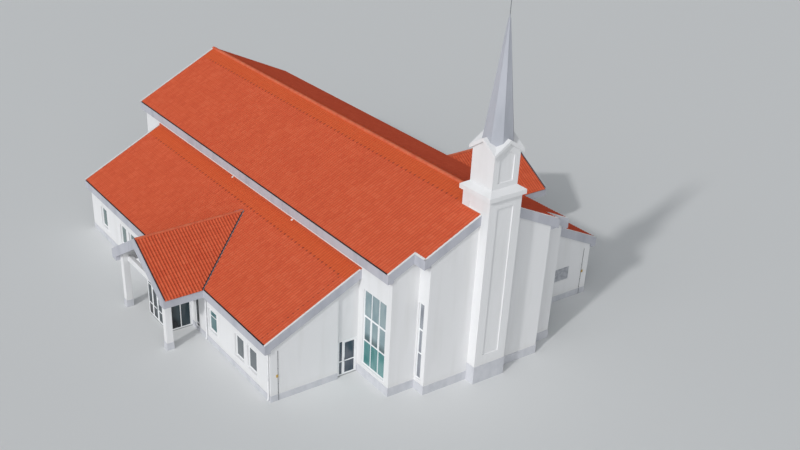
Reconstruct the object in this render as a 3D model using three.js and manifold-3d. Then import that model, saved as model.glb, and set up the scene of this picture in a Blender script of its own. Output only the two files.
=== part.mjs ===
// A modern church: a gabled hall with a lean-to wing and a gabled porch on each long side,
// and a square tower with an octagonal spire in front. Millimetres, +Z up.
// The tower and the front face -Y, the ridge runs along Y, and the left wing is on -X.
// Lengths along Y are measured from the front face of the tower, and the whole is centred at the end.
import * as THREE from 'three';
import { mergeVertices } from 'three/addons/utils/BufferGeometryUtils.js';
import Module from 'manifold-3d';

const wasm = await Module();
wasm.setup();

// Fits
const GAP = 0.3;
const DOOR_GAP = 10;
const SINK = 5;
const WELD = 0.001;
const TIDY = 0.02;

// Common thicknesses
const WALL = 250;
const SLAB = 220;
const BOARD = 100;
const FASCIA = 540;
const EAVE_BOARD = 120;
const TILE_LIP = 30;
const COPING = 40;
const FLOOR = 70;
const PANE = 24;
const BAND = 30;

// Hall
const HALL_HALF = 5907;
const HALL_EAVE_HALF = 6300;
const RIDGE_Z = 10870;
const RISE_PER_RUN = 0.4745;
const HALL_FRONT = 1522;
const HALL_BACK = 32720;
const STEP_HALF = 4131;
const STEP_FRONT = 640;
const STEP_EAVE_HALF = 4641;
const HALL_PLINTH = 550;

// Wings
const WING_HALF = 11750;
const WING_EAVE_HALF = 12121;
const WING_TOP_Z = 6785;
const WING_FRONT = 4445;
const WING_BACK = 30300;
const WING_PLINTH = 390;
const BAY_HALF = 7330;
const BAY_RECESS = 120;

// Porches
const PORCH_MID = 15487;
const PORCH_HALF = 3829;
const PORCH_END = 14690;
const PORCH_RIDGE_Z = 6178;
const PORCH_SLAB = 160;
const PORCH_VERGE = 640;
const COLUMN = 420;
const COLUMN_MID = 3010;
const COLUMN_INSET = 310;
const COLUMN_BASE = 480;
const TIE_INSET = 650;
const TIE_DEEP = 240;
const TIE_TOP = 3700;

// Vestibules
const VEST_END = 13450;
const VEST_HALF = 1400;
const VEST_TOP = 3000;
const VEST_ROOF = 120;
const RAIL = 70;
const FRAME_DEEP = 90;
const LEAF_DEEP = 50;
const LEAF_STILE = 100;
const ENTRANCE_HEAD = 2250;
const ENTRANCE_HALF = 750;
const PUSH_RAIL_Z = 900;
const PASSAGE_HALF = 1200;
const PASSAGE_TOP = 2600;

// Side doors
const SIDE_HEAD = 2390;
const SIDE_FRAME = 60;
const SIDE_MULLION = 6880;
const SIDE_INNER = 5960;
const SIDE_RAIL_Z = 1020;

// Hinges
const HINGE_R = 12;
const HINGE_SIDES = 12;
const HINGE_OUT = 14;
const HINGE_TALL = 70;
const STRAP_FROM = 7;
const STRAP_TO = 40;
const STRAP_OUT = 10;
const STRAP_IN = -2;
const ENTRANCE_HINGES = [300, 1150, 1950];
const SIDE_HINGES = [300, 1200, 2100];

// Windows
const SILL_Z = 940;
const HEAD_Z = 2440;
const WINDOW_HALF = 530;
const WINDOW_MIDS = [6460, 7950, 11270, 19700, 23100, 24600, 28050];
const GLASS_RIM = 40;
const SLOT = { y0: 13160, y1: 13740, z0: 150, z1: 2900 };
const TALL = { y0: 1970, y1: 4110, z0: 800, z1: 5700 };
const TALL_TRANSOMS = [2390, 4010];
const NARROW = { y0: 980, y1: 1440, z0: 780, z1: 5640 };
const NARROW_TRANSOMS = [2420, 3980];
const WINDOW_FRAME = 60;
const WINDOW_INSET = 70;
const LOUVRE = { x0: 8800, x1: 10170, z0: 1440, z1: 2340 };
const LOUVRE_BLADES = 9;
const LOUVRE_BAR = 40;
const BLADE_THICK = 12;

// Tower
const TOWER_HALF = 1080;
const TOWER_WALL = 220;
const TOWER_PLINTH = 1120;
const PANEL_HALF = 545;
const PANEL_Z = [1760, 10800];
const PANEL_DEEP = 60;
const SHAFT_TOP = 11350;
const CORNICE_SIDES = 4;
const CORNICE_HALF = 1235;
const CORNICE_LIP_Z = 11600;
const CORNICE_TOP = 11850;
const BELFRY_HALF = 860;
const BELFRY_TOP = 13700;
const BELFRY_WALL = 160;
const BELFRY_PANEL_HALF = 500;
const BELFRY_PANEL_Z = [12150, 13560];
const GABLE_HALF = 1000;
const GABLE_EAVE_Z = 13830;
const GABLE_PEAK_Z = 14500;
const GABLE_THICK = 200;
const SPIRE_SIDES = 8;
const SPIRE_BASE_Z = 13900;
const SPIRE_BASE_R = 890;
const SPIRE_TIP_Z = 20450;
const SPIRE_TIP_R = 60;
const ROD_R = 22;
const ROD_SIDES = 8;
const ROD_TOP = 21900;

const TOWER_MID = TOWER_HALF;
const VERGE_FRONT = STEP_FRONT - BOARD;
const VERGE_BACK = HALL_BACK + BOARD;
const WING_VERGE_FRONT = WING_FRONT - BOARD;
const WING_VERGE_BACK = WING_BACK + BOARD;
const Y_CENTRE = (TOWER_MID - CORNICE_HALF + VERGE_BACK) / 2;

const hallTop = (x) => RIDGE_Z - RISE_PER_RUN * Math.abs(x);
const wingTop = (x) => WING_TOP_Z - RISE_PER_RUN * (Math.abs(x) - HALL_HALF);
const PORCH_EAVE_Z = wingTop(WING_EAVE_HALF);
const PORCH_RISE = (PORCH_RIDGE_Z - PORCH_EAVE_Z) / PORCH_HALF;
const porchTop = (y) => PORCH_RIDGE_Z - PORCH_RISE * Math.abs(y - PORCH_MID);

// Materials
const paint = (color, roughness, metalness = 0) => (
  new THREE.MeshStandardMaterial({ color, roughness, metalness })
);
const render = paint(0xe4e4e2, 0.85);
const boardPaint = paint(0xc4c6cb, 0.6);
const tile = paint(0xc4583e, 0.75);
const concrete = paint(0xb4b7bb, 0.9);
const frame = paint(0xf2f3f3, 0.35);
const glazed = paint(0x5a8287, 0.08);
const sheetMetal = paint(0xb0b3bb, 0.4, 0.7);
const steel = paint(0x8c9095, 0.45, 0.8);

const church = new THREE.Group();
church.position.y = -Y_CENTRE;

// Solids from three.js geometry
function solid(geometry) {
  const bare = geometry.index ? geometry.toNonIndexed() : geometry;
  bare.deleteAttribute('normal');
  bare.deleteAttribute('uv');
  const merged = mergeVertices(bare, WELD);
  return new wasm.Manifold(new wasm.Mesh({
    numProp: 3,
    vertProperties: new Float32Array(merged.attributes.position.array),
    triVerts: new Uint32Array(merged.index.array),
  }));
}

function box(x0, x1, y0, y1, z0, z1) {
  const size = [Math.abs(x1 - x0), Math.abs(y1 - y0), Math.abs(z1 - z0)];
  const geometry = new THREE.BoxGeometry(...size);
  geometry.translate((x0 + x1) / 2, (y0 + y1) / 2, (z0 + z1) / 2);
  return solid(geometry);
}

// An outline of [x, y] points carried up from z0 to z1.
function upright(outline, z0, z1) {
  const shape = new THREE.Shape(outline.map(([a, b]) => new THREE.Vector2(a, b)));
  const geometry = new THREE.ExtrudeGeometry(shape, { depth: z1 - z0, bevelEnabled: false });
  geometry.translate(0, 0, z0);
  return solid(geometry);
}

// An outline of [x, z] points carried along Y.
function alongY(outline, y0, y1) {
  const shape = new THREE.Shape(outline.map(([a, b]) => new THREE.Vector2(a, b)));
  const geometry = new THREE.ExtrudeGeometry(shape, { depth: y1 - y0, bevelEnabled: false });
  geometry.rotateX(Math.PI / 2);
  geometry.translate(0, y1, 0);
  return solid(geometry);
}

// An outline of [y, z] points carried along X.
function alongX(outline, x0, x1) {
  const [low, high] = [Math.min(x0, x1), Math.max(x0, x1)];
  const shape = new THREE.Shape(outline.map(([a, b]) => new THREE.Vector2(a, b)));
  const geometry = new THREE.ExtrudeGeometry(shape, { depth: high - low, bevelEnabled: false });
  geometry.rotateX(Math.PI / 2);
  geometry.rotateZ(Math.PI / 2);
  geometry.translate(low, 0, 0);
  return solid(geometry);
}

// An upright cylinder or cone of flat sides.
function turned(x, y, r0, r1, z0, z1, sides, turn = 0) {
  const geometry = new THREE.CylinderGeometry(r1, r0, z1 - z0, sides);
  geometry.rotateX(Math.PI / 2);
  geometry.rotateZ(turn);
  geometry.translate(x, y, (z0 + z1) / 2);
  return solid(geometry);
}

const join = (...parts) => parts.flat(2).reduce((whole, part) => whole.add(part));
const cut = (whole, ...tools) => tools.flat().reduce((left, tool) => left.subtract(tool), whole);

function add(name, shape, material) {
  const { vertProperties, triVerts } = shape.simplify(TIDY).getMesh();
  const geometry = new THREE.BufferGeometry();
  geometry.setAttribute('position', new THREE.BufferAttribute(vertProperties, 3));
  geometry.setIndex(new THREE.BufferAttribute(triVerts, 1));
  geometry.computeVertexNormals();
  const mesh = new THREE.Mesh(geometry, material);
  mesh.name = name;
  church.add(mesh);
}

// A framed light in a plane across X, with bars at the given heights and places along Y.
function framedLight(x, y0, y1, z0, z1, bar, deep, rails = [], mullions = []) {
  const [xa, xb] = [x - deep / 2, x + deep / 2];
  const half = bar / 2;
  return join(
    box(xa, xb, y0, y0 + bar, z0, z1),
    box(xa, xb, y1 - bar, y1, z0, z1),
    box(xa, xb, y0, y1, z0, z0 + bar),
    box(xa, xb, y0, y1, z1 - bar, z1),
    rails.map((z) => box(xa, xb, y0, y1, z - half, z + half)),
    mullions.map((y) => box(xa, xb, y - half, y + half, z0, z1)),
    box(x - PANE / 2, x + PANE / 2, y0, y1, z0, z1),
  );
}

// The same in a plane across Y.
function framedLightY(y, x0, x1, z0, z1, bar, deep, rails = [], mullions = []) {
  const [low, high] = [Math.min(x0, x1), Math.max(x0, x1)];
  const [ya, yb] = [y - deep / 2, y + deep / 2];
  const half = bar / 2;
  return join(
    box(low, low + bar, ya, yb, z0, z1),
    box(high - bar, high, ya, yb, z0, z1),
    box(low, high, ya, yb, z0, z0 + bar),
    box(low, high, ya, yb, z1 - bar, z1),
    rails.map((z) => box(low, high, ya, yb, z - half, z + half)),
    mullions.map((x) => box(x - half, x + half, ya, yb, z0, z1)),
    box(low, high, y - PANE / 2, y + PANE / 2, z0, z1),
  );
}

const SIDES = [['left', -1], ['right', 1]];
const TOWER_BACK = TOWER_MID + TOWER_HALF;
const VEST_Y = [PORCH_MID - VEST_HALF, PORCH_MID + VEST_HALF];
const ENTRY_Y = [VEST_Y[0] + FRAME_DEEP, VEST_Y[1] - FRAME_DEEP];
const PORCH_SOFFIT = PORCH_EAVE_Z - FASCIA;

// The underside of each roof slab, less the fit
const underHall = (x) => hallTop(x) - SLAB - GAP;
const underWing = (x) => wingTop(x) - SLAB - GAP;
const underPorch = (y) => porchTop(y) - PORCH_SLAB - GAP;

// A sloping strip in the XZ plane between two distances from the middle.
function strip(side, top, a, b, above, below) {
  return [
    [side * a, top(a) + above],
    [side * b, top(b) + above],
    [side * b, top(b) - below],
    [side * a, top(a) - below],
  ];
}

// A wall outline from the ground to a sloping roof, between two distances from the middle.
function underSlope(side, under, a, b, low = 0) {
  return [
    [side * a, low],
    [side * b, low],
    [side * b, under(b)],
    [side * a, under(a)],
  ];
}

// The gutter board and the boxed soffit behind it, from the wall out to the eave.
function eaveBox(side, top, under, wall, eave) {
  const lip = top(eave) - TILE_LIP;
  const soffit = top(eave) - FASCIA;
  const back = eave - EAVE_BOARD;
  return [
    [side * wall, soffit],
    [side * eave, soffit],
    [side * eave, lip],
    [side * back, lip],
    [side * back, under(back)],
    [side * wall, under(wall)],
  ];
}

function hallFloor() {
  const front = HALL_FRONT + WALL;
  const inner = HALL_HALF - WALL;
  const stepInner = STEP_HALF - WALL;
  const nave = box(-inner, inner, front, HALL_BACK - WALL, 0, FLOOR);
  const bay = box(-stepInner, stepInner, STEP_FRONT + WALL, front + SINK, 0, FLOOR);
  const tower = box(-TOWER_HALF - GAP, TOWER_HALF + GAP, 0, TOWER_BACK + GAP, -SINK, FLOOR + SINK);
  add('hall_floor', cut(join(nave, bay), tower), concrete);
}

function wingFloor(name, side) {
  const bayInner = WING_FRONT + BAY_RECESS + WALL;
  const inner = WING_HALF - WALL;
  const back = WING_BACK - WALL;
  const face = WING_FRONT + BAY_RECESS;
  const doorway = box(side * SIDE_INNER, side * BAY_HALF, face, bayInner + SINK, 0, FLOOR);
  const wide = box(side * BAY_HALF, side * inner, WING_FRONT + WALL, back, 0, FLOOR);
  const narrow = box(side * HALL_HALF, side * (BAY_HALF + SINK), bayInner, back, 0, FLOOR);
  const entry = box(side * (inner - SINK), side * (WING_HALF + SINK), ...ENTRY_Y, 0, FLOOR);
  const lobby = box(side * WING_HALF, side * VEST_END, ...VEST_Y, 0, FLOOR);
  const passage = [PORCH_MID - PASSAGE_HALF, PORCH_MID + PASSAGE_HALF];
  const through = box(side * (HALL_HALF - WALL), side * (HALL_HALF + SINK), ...passage, 0, FLOOR);
  add(`wing_floor_${name}`, join(wide, narrow, doorway, entry, lobby, through), concrete);
}

function hallWall(name, side) {
  const wall = alongY(underSlope(side, underHall, HALL_HALF - WALL, HALL_HALF), HALL_FRONT, HALL_BACK);
  const outer = side * HALL_HALF;
  const proud = side * (HALL_HALF + BAND);
  const band = [
    box(outer - side * SINK, proud, HALL_FRONT, WING_FRONT, 0, HALL_PLINTH),
    box(outer - side * SINK, proud, WING_BACK, HALL_BACK, 0, HALL_PLINTH),
  ];
  const through = [side * (HALL_HALF - WALL - SINK), side * (HALL_HALF + BAND + SINK)];
  const window = box(...through, TALL.y0, TALL.y1, TALL.z0, TALL.z1);
  const passage = box(...through, PORCH_MID - PASSAGE_HALF, PORCH_MID + PASSAGE_HALF, -SINK, PASSAGE_TOP);
  add(`hall_wall_${name}`, cut(join(wall, band), window, passage), render);
}

// Beside the tower the front wall steps forward, and its narrow window faces sideways from the step.
function frontWall(name, side) {
  const outline = [
    [HALL_HALF - WALL, HALL_FRONT],
    [STEP_HALF, HALL_FRONT],
    [STEP_HALF, STEP_FRONT],
    [TOWER_HALF, STEP_FRONT],
    [TOWER_HALF, STEP_FRONT + WALL],
    [STEP_HALF - WALL, STEP_FRONT + WALL],
    [STEP_HALF - WALL, HALL_FRONT + WALL],
    [HALL_HALF - WALL, HALL_FRONT + WALL],
  ].map(([x, y]) => [side * x, y]);
  const roofline = alongY(underSlope(side, underHall, 0, HALL_EAVE_HALF, -SINK), 0, HALL_FRONT + 2 * WALL);
  const wall = upright(outline, 0, RIDGE_Z).intersect(roofline);
  const bandStep = side * (STEP_HALF + BAND);
  const bandInner = side * (TOWER_HALF + BAND + GAP);
  const band = [
    box(side * STEP_HALF, side * (HALL_HALF + BAND), HALL_FRONT - BAND, HALL_FRONT, 0, HALL_PLINTH),
    box(side * STEP_HALF, bandStep, STEP_FRONT - BAND, HALL_FRONT, 0, HALL_PLINTH),
    box(bandInner, bandStep, STEP_FRONT - BAND, STEP_FRONT, 0, HALL_PLINTH),
  ];
  const through = [side * (STEP_HALF - WALL - SINK), side * (STEP_HALF + BAND + SINK)];
  const window = box(...through, NARROW.y0, NARROW.y1, NARROW.z0, NARROW.z1);
  add(`front_wall_${name}`, cut(join(wall, band), window), render);
}

function backWall() {
  const inner = HALL_HALF - WALL;
  const eave = underHall(inner);
  const outline = [[-inner, 0], [inner, 0], [inner, eave], [0, underHall(0)], [-inner, eave]];
  const wall = alongY(outline, HALL_BACK - WALL, HALL_BACK);
  const reach = HALL_HALF + BAND;
  const band = box(-reach, reach, HALL_BACK, HALL_BACK + BAND, 0, HALL_PLINTH);
  add('hall_back_wall', join(wall, band), render);
}

function wingWall(name, side) {
  const wall = alongY(underSlope(side, underWing, WING_HALF - WALL, WING_HALF), WING_FRONT, WING_BACK);
  const outer = side * (WING_HALF - SINK);
  const proud = side * (WING_HALF + BAND);
  const band = [
    box(outer, proud, WING_FRONT, VEST_Y[0], 0, WING_PLINTH),
    box(outer, proud, VEST_Y[1], WING_BACK, 0, WING_PLINTH),
  ];
  const through = [side * (WING_HALF - WALL - SINK), side * (WING_HALF + BAND + SINK)];
  const windows = WINDOW_MIDS.map((y) => box(...through, y - WINDOW_HALF, y + WINDOW_HALF, SILL_Z, HEAD_Z));
  const slot = box(...through, SLOT.y0, SLOT.y1, SLOT.z0, SLOT.z1);
  const entry = box(...through, ...ENTRY_Y, -SINK, VEST_TOP - RAIL);
  add(`wing_wall_${name}`, cut(join(wall, band), windows, slot, entry), render);
}

function wingFrontWall(name, side) {
  const face = WING_FRONT;
  const wall = alongY(underSlope(side, underWing, BAY_HALF, WING_HALF - WALL), face, face + WALL);
  const band = box(side * BAY_HALF, side * (WING_HALF + BAND), face - BAND, face, 0, WING_PLINTH);
  const { x0, x1, z0, z1 } = LOUVRE;
  const hole = box(side * x0, side * x1, face - SINK, face + WALL + SINK, z0, z1);
  const plain = join(wall, band);
  add(`wing_front_wall_${name}`, name === 'right' ? cut(plain, hole) : plain, render);
}

// The door stands in a shallow bay, with a pier against the hall and the wall carried over it.
function wingFrontHeader(name, side) {
  const [y0, y1] = [WING_FRONT + BAY_RECESS, WING_FRONT + BAY_RECESS + WALL];
  const over = alongY(underSlope(side, underWing, HALL_HALF, BAY_HALF, SIDE_HEAD), y0, y1);
  const pier = box(side * HALL_HALF, side * SIDE_INNER, y0, y1, 0, SIDE_HEAD);
  add(`wing_front_header_${name}`, join(over, pier), render);
}

function wingBackWall(name, side) {
  const face = WING_BACK;
  const wall = alongY(underSlope(side, underWing, HALL_HALF, WING_HALF - WALL), face - WALL, face);
  const ends = [side * (HALL_HALF + BAND), side * (WING_HALF + BAND)];
  const band = box(...ends, face, face + BAND, 0, WING_PLINTH);
  add(`wing_back_wall_${name}`, join(wall, band), render);
}

function mainRoof(name, side) {
  const back = HALL_EAVE_HALF - EAVE_BOARD;
  const slab = alongY(strip(side, hallTop, 0, back, 0, SLAB), STEP_FRONT, HALL_BACK);
  const notch = box(side * (STEP_EAVE_HALF - BOARD), side * HALL_EAVE_HALF, 0, HALL_FRONT, 0, RIDGE_Z);
  const tower = box(-TOWER_HALF - GAP, TOWER_HALF + GAP, 0, TOWER_BACK + GAP, 0, 2 * RIDGE_Z);
  add(`main_roof_${name}`, cut(slab, notch, tower), tile);
}

function mainFascia(name, side) {
  const verge = (a, b, y0, y1) => alongY(strip(side, hallTop, a, b, COPING, FASCIA), y0, y1);
  const stepSoffit = hallTop(STEP_EAVE_HALF) - FASCIA;
  const stepInner = STEP_EAVE_HALF - BOARD;
  const eave = eaveBox(side, hallTop, underHall, HALL_HALF, HALL_EAVE_HALF);
  const step = underSlope(side, underHall, STEP_HALF, stepInner, stepSoffit);
  add(`main_fascia_${name}`, join(
    verge(TOWER_HALF + GAP, STEP_EAVE_HALF, VERGE_FRONT, STEP_FRONT),
    verge(stepInner, STEP_EAVE_HALF, VERGE_FRONT, HALL_FRONT),
    verge(stepInner, HALL_EAVE_HALF, HALL_FRONT - BOARD, HALL_FRONT),
    verge(0, HALL_EAVE_HALF, HALL_BACK, VERGE_BACK),
    alongY(step, STEP_FRONT - SINK, HALL_FRONT),
    alongY(eave, HALL_FRONT - BOARD, VERGE_BACK),
  ), boardPaint);
}

function wingRoof(name, side) {
  const section = strip(side, wingTop, HALL_HALF, WING_EAVE_HALF - EAVE_BOARD, 0, SLAB);
  add(`wing_roof_${name}`, alongY(section, WING_FRONT, WING_BACK), tile);
}

function wingFascia(name, side) {
  const verge = (y0, y1) => alongY(strip(side, wingTop, HALL_HALF, WING_EAVE_HALF, COPING, FASCIA), y0, y1);
  const eave = eaveBox(side, wingTop, underWing, WING_HALF, WING_EAVE_HALF);
  add(`wing_fascia_${name}`, join(
    verge(WING_VERGE_FRONT, WING_FRONT),
    verge(WING_BACK, WING_VERGE_BACK),
    alongY(eave, WING_VERGE_FRONT, WING_VERGE_BACK),
  ), boardPaint);
}

// Everything below the top of a wing roof, which the porch roof is fitted over.
function belowWing(side) {
  const reach = WING_EAVE_HALF + GAP;
  const outline = [[0, 0], [reach, 0], [reach, wingTop(reach) + COPING], [0, wingTop(0) + COPING]];
  return alongY(outline.map(([x, z]) => [side * x, z]), 0, HALL_BACK);
}

// A gable outline in the YZ plane around the porch, between two heights over its top.
function porchGable(half, above, below) {
  const [y0, y1] = [PORCH_MID - half, PORCH_MID + half];
  return [
    [y0, porchTop(y0) + above],
    [PORCH_MID, PORCH_RIDGE_Z + above],
    [y1, porchTop(y1) + above],
    [y1, porchTop(y1) - below],
    [PORCH_MID, PORCH_RIDGE_Z - below],
    [y0, porchTop(y0) - below],
  ];
}

function porchRoof(name, side) {
  const gable = porchGable(PORCH_HALF - EAVE_BOARD, 0, PORCH_SLAB);
  const slab = alongX(gable, side * HALL_HALF, side * (PORCH_END - BOARD));
  add(`porch_roof_${name}`, cut(slab, belowWing(side)), tile);
}

// The gable board is wider than the eave boards, and its feet are cut level with the soffit.
function porchFascia(name, side) {
  const foot = PORCH_HALF - (PORCH_VERGE - FASCIA) / PORCH_RISE;
  const outline = [
    [PORCH_MID - PORCH_HALF, PORCH_EAVE_Z + COPING],
    [PORCH_MID, PORCH_RIDGE_Z + COPING],
    [PORCH_MID + PORCH_HALF, PORCH_EAVE_Z + COPING],
    [PORCH_MID + PORCH_HALF, PORCH_SOFFIT],
    [PORCH_MID + foot, PORCH_SOFFIT],
    [PORCH_MID, PORCH_RIDGE_Z - PORCH_VERGE],
    [PORCH_MID - foot, PORCH_SOFFIT],
    [PORCH_MID - PORCH_HALF, PORCH_SOFFIT],
  ];
  const gable = alongX(outline, side * (PORCH_END - BOARD), side * PORCH_END);
  const inner = COLUMN_MID + COLUMN / 2;
  const back = PORCH_HALF - EAVE_BOARD;
  const eaves = [-1, 1].map((turn) => {
    const at = (half) => PORCH_MID + turn * half;
    const section = [
      [at(inner), PORCH_SOFFIT],
      [at(PORCH_HALF), PORCH_SOFFIT],
      [at(PORCH_HALF), PORCH_EAVE_Z - TILE_LIP],
      [at(back), PORCH_EAVE_Z - TILE_LIP],
      [at(back), underPorch(at(back))],
      [at(inner), underPorch(at(inner))],
    ];
    return alongX(section, side * (WING_EAVE_HALF + GAP), side * PORCH_END);
  });
  add(`porch_fascia_${name}`, join(gable, eaves), boardPaint);
}

// Two columns, the tie beam set back between them, and a beam from each to the wing up to the roof.
function porchFrame(name, side) {
  const outer = PORCH_END - COLUMN_INSET;
  const inner = outer - COLUMN;
  const low = PORCH_SOFFIT - SINK;
  const legs = [-1, 1].map((turn) => {
    const mid = PORCH_MID + turn * COLUMN_MID;
    const [y0, y1] = [mid - COLUMN / 2, mid + COLUMN / 2];
    const base = [side * (inner - BAND), side * (outer + BAND), y0 - BAND, y1 + BAND];
    return [
      box(side * inner, side * outer, y0, y1, 0, PORCH_SOFFIT),
      box(...base, 0, COLUMN_BASE),
      box(side * (WING_EAVE_HALF + GAP), side * outer, y0, y1, low, PORCH_RIDGE_Z),
    ];
  }).flat();
  const tieOuter = PORCH_END - TIE_INSET;
  const tieY = [PORCH_MID - COLUMN_MID, PORCH_MID + COLUMN_MID];
  const tie = box(side * (tieOuter - TIE_DEEP), side * tieOuter, ...tieY, low, TIE_TOP);
  const room = [
    [PORCH_MID - PORCH_HALF, 0],
    [PORCH_MID + PORCH_HALF, 0],
    [PORCH_MID + PORCH_HALF, underPorch(PORCH_MID + PORCH_HALF)],
    [PORCH_MID, underPorch(PORCH_MID)],
    [PORCH_MID - PORCH_HALF, underPorch(PORCH_MID - PORCH_HALF)],
  ];
  const under = alongX(room, side * HALL_HALF, side * PORCH_END);
  add(`porch_frame_${name}`, join(legs, tie).intersect(under), render);
}

// A glazed lobby under the porch, with a doorway for two leaves and a light on each side of it.
function vestibule(name, side) {
  const frontX = side * (VEST_END - FRAME_DEEP / 2);
  const doorY = [PORCH_MID - ENTRANCE_HALF, PORCH_MID + ENTRANCE_HALF];
  const tall = [FLOOR, VEST_TOP];
  const ends = [side * WING_HALF, side * VEST_END];
  const centre = side * (WING_HALF + VEST_END) / 2;
  const sides = VEST_Y.map((y, i) => {
    const mid = y + (i ? -1 : 1) * FRAME_DEEP / 2;
    return framedLightY(mid, ...ends, ...tall, RAIL, FRAME_DEEP, [], [centre]);
  });
  const rails = [PUSH_RAIL_Z, ENTRANCE_HEAD + RAIL / 2];
  const beside = [[VEST_Y[0], doorY[0]], [doorY[1], VEST_Y[1]]];
  const lights = beside.map((span) => framedLight(frontX, ...span, ...tall, RAIL, FRAME_DEEP, rails));
  const fan = [ENTRANCE_HEAD, VEST_TOP];
  const over = framedLight(frontX, ...doorY, ...fan, RAIL, FRAME_DEEP, [], [PORCH_MID]);
  const roof = box(...ends, ...VEST_Y, VEST_TOP - SINK, VEST_TOP + VEST_ROOF);
  const leaves = [[doorY[0], PORCH_MID], [PORCH_MID, doorY[1]]];
  const high = [FLOOR, ENTRANCE_HEAD + SINK];
  const shut = leaves.map(([y0, y1]) => (
    framedLight(frontX, y0 - SINK, y1 + SINK, ...high, LEAF_STILE, LEAF_DEEP, [PUSH_RAIL_Z])
  ));
  const hinges = [-1, 1].map((turn) => {
    const jamb = [side * VEST_END, PORCH_MID + turn * ENTRANCE_HALF];
    return hingeHalves(jamb, [0, -turn], [side, 0], ENTRANCE_HINGES, false);
  });
  const fixed = join(sides, lights, over, roof);
  add(`vestibule_${name}`, join(fixed, name === 'left' ? hinges : shut), frame);
}

// One half of each hinge on a door. The jamb corner is where the frame's outer face meets the gap,
// "into" points from the jamb to the leaf, and "out" points away from the building.
function hingeHalves(jamb, into, out, heights, onLeaf) {
  const at = (u, v) => [0, 1].map((i) => jamb[i] + into[i] * u + out[i] * v);
  const middle = DOOR_GAP / 2;
  const turn = onLeaf ? 1 : -1;
  const [cx, cy] = at(middle, HINGE_OUT);
  const [xa, ya] = at(middle + turn * STRAP_FROM, STRAP_IN);
  const [xb, yb] = at(middle + turn * STRAP_TO, STRAP_OUT);
  const rise = onLeaf ? HINGE_TALL + GAP : 0;
  return heights.map((height) => {
    const z = [height + rise, height + rise + HINGE_TALL];
    return join(turned(cx, cy, HINGE_R, HINGE_R, ...z, HINGE_SIDES), box(xa, xb, ya, yb, ...z));
  });
}

// The two leaves of the left entrance, hung at the outer ends of the doorway.
function entranceLeaves() {
  const x = -(VEST_END - LEAF_DEEP / 2);
  for (const [name, turn] of [['front', -1], ['back', 1]]) {
    const hung = PORCH_MID + turn * (ENTRANCE_HALF - DOOR_GAP);
    const free = PORCH_MID + turn * DOOR_GAP / 2;
    const [y0, y1] = [Math.min(hung, free), Math.max(hung, free)];
    const [z0, z1] = [FLOOR + DOOR_GAP, ENTRANCE_HEAD - DOOR_GAP];
    const leaf = framedLight(x, y0, y1, z0, z1, LEAF_STILE, LEAF_DEEP, [PUSH_RAIL_Z]);
    const jamb = [-VEST_END, PORCH_MID + turn * ENTRANCE_HALF];
    const hinges = hingeHalves(jamb, [0, -turn], [-1, 0], ENTRANCE_HINGES, true);
    add(`entrance_leaf_${name}`, join(leaf, hinges), frame);
  }
}

// The frame of a side door with its narrow fixed light, and on the right the door shut in it.
function sideDoorFrame(name, side) {
  const y = WING_FRONT + BAY_RECESS + FRAME_DEEP / 2;
  const [y0, y1] = [y - FRAME_DEEP / 2, y + FRAME_DEEP / 2];
  const bar = (a, b, low, high) => box(side * a, side * b, y0, y1, low, high);
  const tall = [FLOOR, SIDE_HEAD];
  const fixed = [side * SIDE_MULLION, side * BAY_HALF];
  const light = framedLightY(y, ...fixed, ...tall, SIDE_FRAME, FRAME_DEEP, [SIDE_RAIL_Z]);
  const jamb = bar(SIDE_INNER, SIDE_INNER + SIDE_FRAME, ...tall);
  const head = bar(SIDE_INNER, BAY_HALF, SIDE_HEAD - SIDE_FRAME, SIDE_HEAD);
  const opening = [side * (SIDE_INNER + SIDE_FRAME), side * SIDE_MULLION];
  const shut = framedLightY(y, ...opening, ...tall, LEAF_STILE, LEAF_DEEP, [SIDE_RAIL_Z]);
  const corner = [side * (SIDE_INNER + SIDE_FRAME), y0];
  const hinges = hingeHalves(corner, [side, 0], [0, -1], SIDE_HINGES, false);
  add(`side_door_frame_${name}`, join(light, jamb, head, name === 'left' ? hinges : [shut]), frame);
}

function sideDoorLeaf() {
  const face = WING_FRONT + BAY_RECESS;
  const hung = SIDE_INNER + SIDE_FRAME;
  const [x0, x1] = [-(SIDE_MULLION - DOOR_GAP), -(hung + DOOR_GAP)];
  const [z0, z1] = [FLOOR + DOOR_GAP, SIDE_HEAD - SIDE_FRAME - DOOR_GAP];
  const leaf = framedLightY(face + LEAF_DEEP / 2, x0, x1, z0, z1, LEAF_STILE, LEAF_DEEP, [SIDE_RAIL_Z]);
  const hinges = hingeHalves([-hung, face], [-1, 0], [0, -1], SIDE_HINGES, true);
  add('side_door_leaf', join(leaf, hinges), frame);
}

// A window frame with a middle row of narrower opening lights between its two transoms.
function tallWindow(name, side) {
  const x = side * (HALL_HALF - WINDOW_INSET - FRAME_DEEP / 2);
  const third = (TALL.y1 - TALL.y0) / 3;
  const mullions = [TALL.y0 + third, TALL.y0 + 2 * third];
  const extent = [TALL.y0, TALL.y1, TALL.z0, TALL.z1];
  const bars = [TALL_TRANSOMS, mullions];
  add(`hall_window_${name}`, framedLight(x, ...extent, WINDOW_FRAME, FRAME_DEEP, ...bars), frame);
}

function narrowWindow(name, side) {
  const x = side * (STEP_HALF - WINDOW_INSET - FRAME_DEEP / 2);
  const extent = [NARROW.y0, NARROW.y1, NARROW.z0, NARROW.z1];
  add(`narrow_window_${name}`, framedLight(x, ...extent, WINDOW_FRAME, FRAME_DEEP, NARROW_TRANSOMS), frame);
}

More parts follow.
